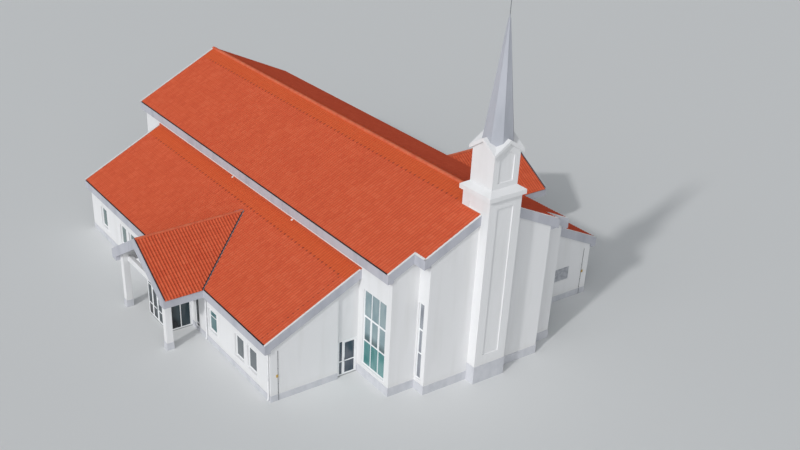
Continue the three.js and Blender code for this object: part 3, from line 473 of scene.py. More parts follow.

# The bed's near-black tones are painted shade; the ceiling tone below is the paint's own.
bedding_with_shade, tree, shader = surface("mortar_bedding_painted_shade", Roughness=0.9)
wet = {"Value": clouds(tree, scale=2.0), "From Min": 0.4, "From Max": 0.7}
damp = {0: add(tree, "ShaderNodeMapRange", wet), 6: linear(BED_IN_SHADE), 7: linear(DAMP_BED_IN_SHADE)}
shaded_bed = add(tree, "ShaderNodeMix", damp, **IN_COLOUR)
facing = add(tree, "ShaderNodeNewGeometry", out="True Normal")
upward = add(tree, "ShaderNodeSeparateXYZ", {"Vector": facing}, out="Z")
is_ceiling = add(tree, "ShaderNodeMath", {0: upward, 1: FACES_DOWN}, operation="LESS_THAN")
colour = add(tree, "ShaderNodeMix", {0: is_ceiling, 6: shaded_bed, 7: linear(CEILING)}, **IN_COLOUR)
tree.links.new(colour, shader.inputs["Base Color"])
dress([f"{roof}_roof_{side}" for roof in ("main", "wing", "porch") for side in SIDES], bedding_with_shade)

# Ridge tiles
# Half round clay caps 400 mm long, each one lapping the next, bedded in mortar along the ridges of
# the hall and of the porches. They are a little paler than the field, being washed by rain.
CAP_LONG, CAP_HALF, CAP_UP, CAP_DOWN = 0.40, 0.12, 0.095, 0.05
CAP_LAP = [(0.0, 1.12), (0.12, 1.12), (0.13, 1.06), (1.0, 0.98)]
CAP_POINTS = 11
CAP_SEAT = 0.012
SMALL_CAP = 0.8
CAP_TONES = ("#D76F4C", "#CE5C3C")


def loft(rings):
    """Rings of equal points joined in order into a closed solid, with a flat cap on each end."""
    index = np.arange(rings.shape[0] * rings.shape[1]).reshape(rings.shape[:2])
    next_round = np.roll(index, -1, axis=1)
    sides = np.stack([index[:-1], next_round[:-1], next_round[1:], index[1:]], -1).reshape(-1, 4)
    return rings.reshape(-1, 3), [sides, index[:1], index[-1:]]


def ridge_caps(start, end, across, size=1.0):
    """Half ellipses on short straight sides, carried from start to end and swollen at each lap."""
    start, end, across = np.asarray(start), np.asarray(end), np.asarray(across)
    count = int(np.ceil(np.linalg.norm(end - start) / CAP_LONG))
    swing = np.linspace(0, np.pi, CAP_POINTS)
    arch = np.stack([np.cos(swing) * CAP_HALF, np.sin(swing) * CAP_UP], -1)
    outline = np.concatenate([arch, [[-CAP_HALF, -CAP_DOWN], [CAP_HALF, -CAP_DOWN]]]) * size
    lap_at, swell = np.array(CAP_LAP).T
    caps = []
    for number in range(count):
        centre = start + (number + lap_at)[:, None] / count * (end - start)
        wide = swell[:, None, None] * outline[None, :, :1] * across
        tall = swell[:, None, None] * outline[None, :, 1:] * np.array([0, 0, 1])
        caps.append(loft(centre[:, None] + wide + tall))
    return caps


washed_clay = mottled("washed_clay", CAP_TONES, scale=2.5, span=(0.35, 0.7), detail=4.0, Roughness=0.75)
main_ridge = [[0, y, RIDGE_Z + CAP_SEAT] for y in (TOWER_BACK, roof_high[1] + BOARD)]
fix("main_ridge_tiles", ridge_caps(*main_ridge, [1, 0, 0]), washed_clay, "roof_tile")
for side_name, side in SIDES.items():
    porch_ridge = [[side * x, PORCH_MID, PORCH_RIDGE_Z + CAP_SEAT] for x in (PORCH_X, RIDGE_END_X)]
    caps = ridge_caps(*porch_ridge, [0, 1, 0], SMALL_CAP)
    fix(f"porch_ridge_tiles_{side_name}", caps, washed_clay, "roof_tile")

# Vent tiles
# Small clay hoods over air slots, one in every second column about a metre under the top of each main
# and wing slope, and one in every course beside the wing's front verge.
HOOD_HALF, HOOD_LONG, HOOD_UP, HOOD_SEAT = 0.07, 0.14, 0.055, 0.02
HOOD_POINTS = 7
HOOD_AT, HOOD_TAPER = np.array([-0.5, 0.1, 0.5]), np.array([1.0, 0.8, 0.35])
HOOD_COLUMNS = 2
HOOD_DROP, HOOD_IN = 1.02, 0.55
HOOD_CLAY = ("#A8452D", "#963B27")


def hood(middle, uphill):
    """A quarter dome: a half ellipse that shrinks uphill to a low back, on the tiles' own slope."""
    uphill = np.asarray(uphill)
    along = np.array([-uphill[1], uphill[0], 0]) / np.hypot(uphill[0], uphill[1])
    outward = np.cross(along, uphill)
    outward = outward * np.sign(outward[2])
    swing = np.linspace(0, np.pi, HOOD_POINTS)
    taper = HOOD_TAPER[:, None, None]
    station = HOOD_AT[:, None, None] * HOOD_LONG * uphill
    wide = np.cos(swing)[None, :, None] * HOOD_HALF * along
    tall = (HOOD_SEAT + np.sin(swing)[None, :, None] * HOOD_UP) * outward
    return loft(np.asarray(middle) + station + taper * wide + taper * tall)


hood_clay = mottled("smoked_clay", HOOD_CLAY, scale=6.0, span=(0.4, 0.7), Roughness=0.85)
for side_name, side in SIDES.items():
    rising = UPHILL * [-side, 1, 1]
    hoods = []
    for top_x, top_z, front, back in (
        (0, RIDGE_Z, TOWER_BACK, roof_high[1]), (HALL_X, WING_TOP_Z, wing_low[1], wing_high[1]),
    ):
        crown = np.array([side * top_x, 0, top_z]) - HOOD_DROP * rising
        pitch = HOOD_COLUMNS * TILE_WIDE
        places = np.arange(np.ceil((front + HOOD_IN) / pitch), np.floor((back - HOOD_IN) / pitch)) * pitch
        hoods += [hood(crown + [0, y, 0], rising) for y in places]
    foot = np.array([side * WING_X, wing_low[1] + HOOD_IN, wing_plane(WING_X)])
    climb = np.arange(COURSE / 2, WING_REACH - HOOD_DROP, COURSE)
    hoods += [hood(foot + s * rising, rising) for s in climb]
    fix(f"vent_tiles_{side_name}", hoods, hood_clay, "roof_tile")

# Gutters
# A lined channel lies on top of each boxed eave, between the ends of the tiles and a thin upstand
# on the outer edge. The lining is bituminous felt, coloured near black as painted shade in the
# channel, which reads as a black line from above.
GUTTER_WIDE = 0.12
LINING_UP, UPSTAND_WIDE, UPSTAND_UP = 0.006, 0.014, 0.028
TILE_LIP = 0.03
FELT_AND_SHADE = ("#2A2427", "#3B3335")


def run(start, end, across, section):
    """A section of distances across and up, carried straight from start to end."""
    section = np.asarray(section, float)
    shape = section[:, :1] * np.asarray(across) + section[:, 1:] * np.array([0, 0, 1])
    return loft(np.stack([np.asarray(start) + shape, np.asarray(end) + shape]))


def rectangle(a, b, low, high):
    """A section of four corners."""
    return [[a, low], [b, low], [b, high], [a, high]]


# The lining's near-black tones are painted shade inside the channel.
felt_and_shade = mottled("bituminous_felt_painted_shade", FELT_AND_SHADE, scale=3.0, span=(0.4, 0.7), Roughness=0.9)
main_lip = RIDGE_Z - RISE * (EAVE_X + GUTTER_WIDE) - TILE_LIP
wing_lip = wing_plane(WING_X + GUTTER_WIDE) - TILE_LIP
EAVES = [
    (EAVE_X, main_lip, HALL_FRONT, roof_high[1]),
    (WING_X, wing_lip, wing_low[1], PORCH_MID - PORCH_HALF),
    (WING_X, wing_lip, PORCH_MID + PORCH_HALF, wing_high[1]),
]
UPSTAND_IN = GUTTER_WIDE - UPSTAND_WIDE
for side_name, side in SIDES.items():
    lines = [[[side * x, front, z], [side * x, back, z]] for x, z, front, back in EAVES]
    across = [side, 0, 0]
    linings = [run(*line, across, rectangle(0, UPSTAND_IN, 0, LINING_UP)) for line in lines]
    upstands = [run(*line, across, rectangle(UPSTAND_IN, GUTTER_WIDE, 0, UPSTAND_UP)) for line in lines]
    fix(f"gutter_linings_{side_name}", linings, felt_and_shade, "sheet_metal")
    fix(f"gutter_upstands_{side_name}", upstands, board_paint, "fascia_paint")

# Verge cappings
# On the boards that close the roofs' ends, a pale mortar capping 110 mm wide. On the porch gables a
# folded metal edge, coloured near black as painted shade under the tile edge, stands between the
# tiles and a narrow strip painted like the boards.
CAPPING_UP, CAPPING_IN, CAPPING_DOWN = 0.022, 0.012, 0.002
COPING = 0.04
DARK_WIDE, DARK_UP = 0.055, 0.034
CAPPING_TONES = ("#E4E3E2", "#C9C4BE")
SHADE_DARK_EDGE_TONES = ("#33343C", "#26262C")


def capping(side, y0, y1, a, b, top):
    """A capping on a sloping verge between two distances from the middle, from y0 to y1."""
    ends = [[side * x, 0, top(x) + COPING] for x in (a, b)]
    return run(*ends, [0, 1, 0], rectangle(y0, y1, -CAPPING_DOWN, CAPPING_UP))


def hall_plane(x):
    """Height of the hall's slab at a distance from the middle."""
    return RIDGE_Z - RISE * x


capping_mortar = mottled(
    "painted_mortar", CAPPING_TONES, scale=4.0, span=(0.5, 0.8), share=0.7, Roughness=0.85
)
# Near-black metal: painted shade at the porch verges and in the valleys.
shade_dark_metal = mottled(
    "folded_metal_painted_shade", SHADE_DARK_EDGE_TONES, scale=5.0, span=(0.4, 0.7), Roughness=0.5, Metallic=0.4
)
for side_name, side in SIDES.items():
    front, step, back = HALL_FRONT, roof_low[1], roof_high[1]
    edge_x, step_edge_x = EAVE_X + GUTTER_WIDE, STEP_X + BOARD
    wing_edge_x = WING_X + GUTTER_WIDE
    cappings = [
        capping(side, step - BOARD, step + CAPPING_IN, TOWER_X, step_edge_x, hall_plane),
        capping(side, front - BOARD, front + CAPPING_IN, step_edge_x, edge_x, hall_plane),
        capping(side, back - CAPPING_IN, back + BOARD, 0, edge_x, hall_plane),
        capping(side, wing_low[1] - BOARD, wing_low[1] + CAPPING_IN, HALL_X, wing_edge_x, wing_plane),
        capping(side, wing_high[1] - CAPPING_IN, wing_high[1] + BOARD, HALL_X, wing_edge_x, wing_plane),
    ]
    across = [side, 0, 0]
    step_z = hall_plane(STEP_X) + COPING
    step_line = [[side * STEP_X, y, step_z] for y in (step - BOARD, front + CAPPING_IN)]
    slope = [[0, 0], [BOARD, -BOARD * RISE], [BOARD, CAPPING_UP - BOARD * RISE], [0, CAPPING_UP]]
    cappings.append(run(*step_line, across, slope))
    edges, strips = [], []
    for turn in (-1, 1):
        gable = [
            [0, PORCH_MID + turn * half, PORCH_RIDGE_Z - PORCH_RISE * half + COPING]
            for half in (0, PORCH_HALF)
        ]
        dark_x = PORCH_X + DARK_WIDE - CAPPING_IN
        dark = rectangle(PORCH_X - CAPPING_IN, dark_x, -CAPPING_DOWN, DARK_UP)
        light = rectangle(dark_x, PORCH_X + BOARD, -CAPPING_DOWN, CAPPING_UP)
        edges.append(run(*gable, across, dark))
        strips.append(run(*gable, across, light))
    fix(f"verge_cappings_{side_name}", cappings, capping_mortar, "wall_render")
    fix(f"dark_verge_edges_{side_name}", edges, shade_dark_metal, "sheet_metal")
    fix(f"porch_verge_strips_{side_name}", strips, board_paint, "fascia_paint")

# Valleys
# Folded zinc laid down each valley between porch and wing: a tray beside the porch tiles, coloured
# near black as painted shade under their edge, and a raised grey edge that laps the wing tiles.
TRAY_IN, TRAY_WIDE, TRAY_UP, EDGE_WIDE, EDGE_UP = 0.05, 0.075, 0.066, 0.04, 0.073
ZINC = ("#9A9AA2", "#82838D")


def valley_run(side, turn, offset_a, offset_b, high):
    """A strip on the wing's slope beside a valley, between two distances out from the valley line."""
    foot = np.array([side * WING_EAVE_X, PORCH_MID + turn * PORCH_HALF, PORCH_EAVE_Z])
    head = np.array([side * RIDGE_END_X, PORCH_MID, PORCH_RIDGE_Z])
    return run(foot, head, [0, turn, 0], rectangle(offset_a, offset_b, 0.0, high))


zinc = mottled(
    "weathered_zinc", ZINC, scale=3.0, span=(0.4, 0.7), detail=4.0, Roughness=0.5, Metallic=0.2
)
for side_name, side in SIDES.items():
    trays = [valley_run(side, turn, -TRAY_IN, TRAY_WIDE, TRAY_UP) for turn in (-1, 1)]
    edges = [valley_run(side, turn, TRAY_WIDE, TRAY_WIDE + EDGE_WIDE, EDGE_UP) for turn in (-1, 1)]
    # The trays take the near-black metal: painted shade under the porch tiles.
    fix(f"valley_trays_{side_name}", trays, shade_dark_metal, "sheet_metal")
    fix(f"valley_edges_{side_name}", edges, zinc, "sheet_metal")

# Flashings
# Where the wing roof meets the hall wall, and where the hall roof meets the tower, a metal apron
# painted like the tiles turns up the wall. On the wing its lengths are joined under small white clips.
APRON_OUT, APRON_UP, APRON_THICK = 0.08, 0.05, 0.012
CLIP_MIDS, CLIP_HALF, CLIP_OUT, CLIP_UP = (11.62, 19.09), 0.07, 0.12, 0.035
CHEEK_OUT, CHEEK_UP, CHEEK_SEAT = 0.06, 0.08, 0.06
WALL_GAP = 0.001
FRONT = TOWER_BACK - 2 * TOWER_X
ROLL_TOP = PAN_UP + ROLL_UP + LAP_UP
APRON_TONES, CLIP_TONES = ("#CF6039", "#C4552F"), ("#EDEBE8", "#D2CFCB")


def bent_apron(out, fall, seat, up):
    """The section of an apron: down along the roof by the fall, and up against the wall."""
    thick = APRON_THICK
    return [[0, 0], [out, -fall], [out, seat + thick - fall], [thick, seat + thick], [thick, up], [0, up]]


apron_paint = mottled("painted_apron", APRON_TONES, scale=5.0, span=(0.4, 0.7), Roughness=0.5)
clip_paint = mottled(
    "white_painted_clip", CLIP_TONES, scale=5.0, span=(0.5, 0.75), share=0.6, Roughness=0.45
)
for side_name, side in SIDES.items():
    z = WING_TOP_Z + ROLL_TOP
    wall_line = [[side * HALL_X, y, z] for y in (wing_low[1] - BOARD, wing_high[1] + BOARD)]
    aprons = [run(*wall_line, [side, 0, 0], bent_apron(APRON_OUT, APRON_OUT * RISE, 0, APRON_UP))]
    low, high, clips = -CLIP_OUT * RISE, CLIP_UP, []
    for middle in CLIP_MIDS:
        ends = [[side * HALL_X, middle + FRONT + half, z] for half in (-CLIP_HALF, CLIP_HALF)]
        section = [[0, 0], [CLIP_OUT, low], [CLIP_OUT, low + high], [0, high]]
        clips.append(run(*ends, [side, 0, 0], section))
    fix(f"flashing_clips_{side_name}", clips, clip_paint, "sheet_metal")
    cheek = bent_apron(CHEEK_OUT, CHEEK_OUT * RISE, CHEEK_SEAT, CHEEK_UP)
    beside = [[side * (TOWER_X + WALL_GAP), y, hall_plane(TOWER_X)] for y in (roof_low[1], TOWER_BACK)]
    aprons.append(run(*beside, [side, 0, 0], cheek))
    behind = [[side * x, TOWER_BACK + WALL_GAP, hall_plane(x)] for x in (0, TOWER_X + CHEEK_OUT)]
    aprons.append(run(*behind, [0, 1, 0], bent_apron(CHEEK_OUT, 0, CHEEK_SEAT, CHEEK_UP)))
    fix(f"flashings_{side_name}", aprons, apron_paint, "sheet_metal")

# Wing windows
# White aluminium casements set 100 mm back in the wall, each in a raised rendered surround with a
# sloped sill. The hole is 1060 mm wide and 1500 mm tall, and the glass is green tinted.
WING_FACE = 11.75
WINDOW_WIDE, SILL_Z, HEAD_Z = 1.06, 0.94, 2.44
WINDOW_ROWS = {"front": (6.46, 7.95), "middle": (11.27, 19.70), "back": (23.10, 24.60, 28.05)}
TRANSOM_SHARE, TRANSOM_BAR = 0.33, 0.045
SURROUND_WIDE, SURROUND_OUT = 0.07, 0.028
SILL_WIDE, SILL_OUT, SILL_THICK, SILL_OVER, SILL_EASE = 0.09, 0.05, 0.045, 0.005, 0.012
WALL_LAP = 0.002
SET_BACK, CASING, CASEMENT = 0.10, 0.05, 0.055
CASING_W, CASEMENT_W = (-0.16, -0.09), (-0.145, -0.078)
GLASS_W = (-0.13, -0.106)
GLASS_LAP, REBATE = 0.01, 0.004
BAR_EASE, FRAME_EASE, GLASS_EASE = 0.004, 0.006, 0.001
SLOT_Y, SLOT_Z, SLOT_BAR_Z = (13.16, 13.74), (0.15, 2.90), (0.42, 0.47)
FRAME_WHITE = ("#F0F1F2", "#D8DADD")
GREY_GLASS, TEAL_GLASS = ("#696F73", "#585F63"), ("#376765", "#5C7D80")
PALE_TEAL_GLASS, DARK_GLASS = ("#5F7676", "#6C7D7C"), ("#25262C", "#34393F")


def hoop(rings):
    """Rings of equal points joined in order and back to the first, as a frame with mitred corners."""
    index = np.arange(rings.shape[0] * rings.shape[1]).reshape(rings.shape[:2])
    next_round = np.roll(index, -1, axis=1)
    next_ring = [np.roll(next_round, -1, axis=0), np.roll(index, -1, axis=0)]
    quads = np.stack([index, next_round, *next_ring], -1).reshape(-1, 4)
    return rings.reshape(-1, 3), [quads]


def facing_x(face, side):
    """Carry points of (along Y, up, out) to a wall that faces along X."""
    return lambda p: np.stack([side * (face + p[..., 2]), p[..., 0], p[..., 1]], -1)


def facing_y(face, turn=-1):
    """Carry points of (along X, up, out) to a wall that faces the front, or the back with turn 1."""
    return lambda p: np.stack([p[..., 0], face + turn * p[..., 2], p[..., 1]], -1)


def block(place, u, v, w, ease=BAR_EASE):
    """A bar or sheet with its outer edges eased: three rectangles, the last one drawn in."""
    rings = [
        [[u[0] + pull, v[0] + pull, deep], [u[1] - pull, v[0] + pull, deep],
         [u[1] - pull, v[1] - pull, deep], [u[0] + pull, v[1] - pull, deep]]
        for pull, deep in ((0, w[0]), (0, w[1] - ease), (ease, w[1]))
    ]
    return loft(place(np.array(rings)))


def mitred(place, u, v, wide, w, ease=FRAME_EASE):
    """A rectangular frame: a section with eased edges carried round four mitred corners."""
    inward = np.array([0, 0, ease, wide - ease, wide, wide])
    deep = np.array([w[0], w[1] - ease, w[1], w[1], w[1] - ease, w[0]])
    corners = [(u[0] + inward, v[0] + inward), (u[1] - inward, v[0] + inward),
               (u[1] - inward, v[1] - inward), (u[0] + inward, v[1] - inward)]
    return hoop(place(np.array([np.stack([a, b, deep], -1) for a, b in corners])))


def inset(span, by):
    """A span drawn in at both ends."""
    return (span[0] + by, span[1] - by)


def around(middle, wide):
    """A span of a width around its middle."""
    return (middle - wide / 2, middle + wide / 2)


def pane(place, u, v, w):
    """A sheet of glass with ground edges."""
    return block(place, u, v, w, GLASS_EASE)


def float_glass(name, tones, scale=0.55):
    """Tinted float glass: smooth and glossy, its tones and soft upright clouds a painted reflection."""
    clouds = {"scale": scale, "span": (0.4, 0.6), "stretch": (1, 1, 0.45), "detail": 2.0}
    return mottled(name, tones, **clouds, Roughness=0.06, IOR=1.52)


painted_frame = mottled(
    "powder_coated_aluminium", FRAME_WHITE, scale=6.0, span=(0.5, 0.8), share=0.5, Roughness=0.35
)
grey_glass = float_glass("silvery_float_glass", GREY_GLASS)
teal_glass = float_glass("tinted_float_glass", TEAL_GLASS)
pale_teal_glass = float_glass("washed_float_glass", PALE_TEAL_GLASS)
dark_glass = float_glass("shaded_float_glass", DARK_GLASS)
plain_render = painted_render(0.0)
row_glass = {"front": grey_glass, "middle": teal_glass, "back": pale_teal_glass}
v = (SILL_Z, HEAD_Z)
sill = (SILL_Z - SILL_THICK, SILL_Z + SILL_OVER)
lit = CASING + CASEMENT - 2 * GLASS_LAP
for side_name, side in SIDES.items():
    place = facing_x(WING_FACE, side)
    for row_name, middles in WINDOW_ROWS.items():
        surrounds, frames, panes = [], [], []
        for middle in middles:
            u = around(middle + FRONT, WINDOW_WIDE)
            raised = inset(u, -SURROUND_WIDE), inset(v, -SURROUND_WIDE)
            surrounds.append(mitred(place, *raised, SURROUND_WIDE, (-WALL_LAP, SURROUND_OUT)))
            surrounds.append(block(place, inset(u, -SILL_WIDE), sill, (-SET_BACK, SILL_OUT), SILL_EASE))
            frames.append(mitred(place, u, v, CASING, CASING_W))
            sash = inset(u, CASING - GLASS_LAP), inset(v, CASING - GLASS_LAP)
            frames.append(mitred(place, *sash, CASEMENT, CASEMENT_W))
            if row_name == "middle":
                bar = around(v[1] - (v[1] - v[0]) * TRANSOM_SHARE, TRANSOM_BAR)
                frames.append(block(place, inset(u, CASING), bar, inset(CASEMENT_W, REBATE)))
            panes.append(pane(place, inset(u, lit), inset(v, lit), GLASS_W))
        if row_name == "front":
            u = tuple(np.array(SLOT_Y) + FRONT)
            frames.append(mitred(place, u, SLOT_Z, CASING, CASEMENT_W))
            slot_u, slot_v = inset(u, CASING - GLASS_LAP), inset(SLOT_Z, CASING - GLASS_LAP)
            frames.append(block(place, slot_u, SLOT_BAR_Z, inset(CASEMENT_W, REBATE)))
            slot_pane = pane(place, slot_u, slot_v, GLASS_W)
            fix(f"slot_pane_{side_name}", [slot_pane], dark_glass, "window_glass")
        fix(f"wing_surrounds_{row_name}_{side_name}", surrounds, plain_render, "wall_render")
        fix(f"wing_frames_{row_name}_{side_name}", frames, painted_frame, "frame_white")
        sheet = [] if row_name == "middle" else [f"wing_glass_{row_name}_{side_name}"]
        fix(f"wing_panes_{row_name}_{side_name}", panes, row_glass[row_name], "window_glass", *sheet)

# Tall and narrow windows
# White aluminium frames set 70 mm back: three lights wide in the hall's side wall, and one light wide
# in the step beside the tower. The middle lights open, so their sashes are thicker. The upper panes
# carry a paler painted reflection of the sky, fading low in the middle row to a painted shade.
TALL_Y, TALL_Z, TALL_BARS_Z = (1.97, 4.11), (0.80, 5.70), (2.39, 4.01)
NARROW_Y, NARROW_Z, NARROW_BARS_Z = (0.98, 1.44), (0.78, 5.64), (2.42, 3.98)
HALL_FACE, STEP_FACE = 5.907, 4.131
OUTER_BAR, INNER_BAR, SASH = 0.06, 0.05, 0.05
TALL_FRAME_W, TALL_BAR_W, TALL_SASH_W = (-0.16, -0.07), (-0.155, -0.078), (-0.15, -0.06)
TALL_GLASS_W = (-0.125, -0.101)
LEDGE_THICK, LEDGE_OUT = 0.05, 0.045
SKY_REFLECTION_GLASS, LOW_GLASS = ("#93A4A8", "#7A9197"), ("#45807F", "#6E9898")
SHADED_GLASS, SHADE_FROM, SHADE_TO = "#4B5C5E", 3.0, 2.6
SILVER_GLASS = ("#999EA4", "#82868E")
TALL_CLOUDS = 1.2

low_glass = float_glass("green_float_glass", LOW_GLASS, TALL_CLOUDS)
silver_glass = float_glass("clouded_float_glass", SILVER_GLASS, TALL_CLOUDS)
sky_reflection_glass = float_glass("sky_reflection_float_glass", SKY_REFLECTION_GLASS, TALL_CLOUDS)
# The upper panes are painted with a reflection of the sky, darkening below 3 m to a painted shade.
tree = sky_reflection_glass.node_tree
glass_colour = tree.nodes["Principled BSDF"].inputs["Base Color"]
own = add(tree, "ShaderNodeTexCoord", out="Object")
height = add(tree, "ShaderNodeSeparateXYZ", {"Vector": own}, out="Z")
fade = {"Value": height, "From Min": SHADE_FROM, "From Max": SHADE_TO, "To Max": 0.75}
faded = add(tree, "ShaderNodeMapRange", fade)
shading = {0: faded, 6: glass_colour.links[0].from_socket, 7: linear(SHADED_GLASS)}
tree.links.new(add(tree, "ShaderNodeMix", shading, **IN_COLOUR), glass_colour)


def gridded_window(place, u, v, mullions, transoms):
    """Frames, lower panes and upper panes of a window with bars, and a sash in each middle light."""
    frames = [mitred(place, u, v, OUTER_BAR, TALL_FRAME_W)]
    low_bars = inset(TALL_BAR_W, REBATE)
    frames += [block(place, around(m, INNER_BAR), inset(v, INNER_BAR), TALL_BAR_W) for m in mullions]
    frames += [block(place, inset(u, INNER_BAR), around(t, INNER_BAR), low_bars) for t in transoms]
    lights_u, lights_v = [
        [inset(cell, INNER_BAR / 2 - GLASS_LAP) for cell in zip([low, *bars], [*bars, high])]
        for (low, high), bars in ((inset(u, OUTER_BAR - INNER_BAR / 2), mullions),
                                  (inset(v, OUTER_BAR - INNER_BAR / 2), transoms))
    ]
    low_panes, high_panes = [], []
    for light_u in lights_u:
        for row, light_v in enumerate(lights_v):
            if row == 1:
                frames.append(mitred(place, light_u, light_v, SASH, TALL_SASH_W))
            (high_panes if row else low_panes).append(pane(place, light_u, light_v, TALL_GLASS_W))
    return frames, low_panes, high_panes


for side_name, side in SIDES.items():
    ledges = []
    for name, face, along_y, v, bars_z, lights, low, high in (
        ("hall_window", HALL_FACE, TALL_Y, TALL_Z, TALL_BARS_Z, 3, low_glass, sky_reflection_glass),
        ("narrow_window", STEP_FACE, NARROW_Y, NARROW_Z, NARROW_BARS_Z, 1, silver_glass, silver_glass),
    ):
        place = facing_x(face, side)
        u = tuple(np.array(along_y) + FRONT)
        mullions = np.linspace(*u, lights + 1)[1:-1]
        frames, low_panes, high_panes = gridded_window(place, u, v, mullions, bars_z)
        fix(f"{name}_frame_{side_name}", frames, painted_frame, "frame_white", f"{name}_{side_name}")
        fix(f"{name}_low_panes_{side_name}", low_panes, low, "window_glass")
        fix(f"{name}_high_panes_{side_name}", high_panes, high, "window_glass")
        sill = (v[0] - LEDGE_THICK, v[0] + SILL_OVER)
        ledge_w = (TALL_FRAME_W[1], LEDGE_OUT)
        ledges.append(block(place, inset(u, -LEDGE_THICK), sill, ledge_w, SILL_EASE))
    fix(f"window_ledges_{side_name}", ledges, plain_render, "wall_render")

# Hinges and pulls
# Butt hinges with a turned knuckle and two straps, painted white like the frames, and tubular door
# pulls on two short posts, of satin stainless steel. Each door piece below takes its own half of a
# hinge.
HINGE_R, HINGE_OUT, HINGE_TALL, HINGE_PLAY = 0.012, 0.014, 0.07, 0.0003
STRAP_FROM, STRAP_TO, STRAP_IN, STRAP_OUT = 0.007, 0.04, -0.002, 0.01
DOOR_GAP = 0.01
PULL_R, PULL_OUT, PULL_TALL, PULL_SIDES, POST_IN = 0.012, 0.045, 0.32, 12, 0.04
ASKEW = np.array([0.31, 0.53, 0.79])
STEEL = ("#B9BCBF", "#9DA1A5")


def pipe(points, radius, sides=PULL_SIDES):
    """A circle carried along a path of points. Each ring stands square to the path there, turned
    from a direction that no path here follows."""
    points = np.asarray(points, float)
    heading = np.gradient(points, axis=0)
    heading /= np.linalg.norm(heading, axis=1, keepdims=True)
    first = np.cross(heading, ASKEW)
    first /= np.linalg.norm(first, axis=1, keepdims=True)
    second = np.cross(heading, first)
    swing = np.arange(sides) * 2 * np.pi / sides
    ring = first[:, None] * np.cos(swing)[:, None] + second[:, None] * np.sin(swing)[:, None]
    radius = np.broadcast_to(radius, len(points))[:, None, None]
    return loft(points[:, None] + radius * ring)


def cuboid(low, high):
    """A plain box between two corners, given in any order."""
    (x0, x1), (y0, y1), (z0, z1) = np.sort(np.array([low, high], float), axis=0).T
    return loft(np.array([[[x0, y0, z], [x1, y0, z], [x1, y1, z], [x0, y1, z]] for z in (z0, z1)]))


def hinge_halves(jamb, into, out, heights, on_leaf):
    """A knuckle and a strap at each height. The jamb corner is where the frame meets the door's gap."""
    jamb, into, out = [np.array(flat, float) for flat in (jamb, into, out)]
    turn = 1 if on_leaf else -1
    centre = jamb + into * DOOR_GAP / 2 + out * HINGE_OUT
    near = jamb + into * (DOOR_GAP / 2 + turn * STRAP_FROM) + out * STRAP_IN
    far = jamb + into * (DOOR_GAP / 2 + turn * STRAP_TO) + out * STRAP_OUT
    halves = []
    for height in heights:
        z0 = height + (HINGE_TALL + HINGE_PLAY if on_leaf else 0)
        z1 = z0 + HINGE_TALL
        halves.append(pipe([[*centre, z0], [*centre, z1]], HINGE_R))
        halves.append(cuboid([*near, z0], [*far, z1]))
    return halves


def pull(place, u, middle):
    """An upright tube on two posts, off the face of a door."""
    ends = [middle - PULL_TALL / 2, middle + PULL_TALL / 2]
    tube = [[u, end, PULL_OUT] for end in ends]
    posts = [[[u, end, 0], [u, end, PULL_OUT]] for end in (ends[0] + POST_IN, ends[1] - POST_IN)]
    return [pipe(place(np.array(path)), PULL_R) for path in (tube, *posts)]


satin_steel = mottled(
    "satin_stainless_steel", STEEL, scale=30.0, span=(0.4, 0.6), stretch=(1, 1, 0.1),
    Roughness=0.35, Metallic=0.9
)

# Side doors
# A white aluminium door with one glazed leaf and a narrow fixed light beside it, in the shallow bay of
# each wing. The left leaf hangs on three hinges beside the hall and swings out; the right one is shut.
DOOR_FACE = 4.565
SIDE_HEAD, SIDE_FRAME, SIDE_INNER, SIDE_MULLION, BAY_X = 2.39, 0.06, 5.96, 6.88, 7.33
SIDE_RAIL_Z, SIDE_RAIL = 0.99, 0.075
SIDE_HINGES = (0.3, 1.2, 2.1)
SIDE_POST = 0.19
FLOOR_Z = 0.07
LEAF_DEEP, LEAF_STILE = 0.05, 0.10
DEEP_W, FIXED_GLASS_W = (-0.09, 0.0), (-0.057, -0.033)
LEAF_W, LEAF_GLASS_W = (-LEAF_DEEP, 0.0), (-0.037, -0.013)
PULL_Z = 1.08
DOOR_GLASS, DOOR_CLOUDS = ("#33424E", "#596069"), 1.4

door_glass = float_glass("grey_float_glass", DOOR_GLASS, DOOR_CLOUDS)


def mirrored(side, a, b):
    """A span along X on one side of the building, in rising order."""
    return tuple(sorted((side * a, side * b)))


def leaf_parts(place, u, v, rail):
    """The frame and pane of a glazed door leaf with a mid rail."""
    lap = LEAF_STILE - GLASS_LAP
    frames = [mitred(place, u, v, LEAF_STILE, LEAF_W)]
    frames.append(block(place, inset(u, lap), around(rail, SIDE_RAIL), inset(LEAF_W, REBATE)))
    return frames, [pane(place, inset(u, lap), inset(v, lap), LEAF_GLASS_W)]


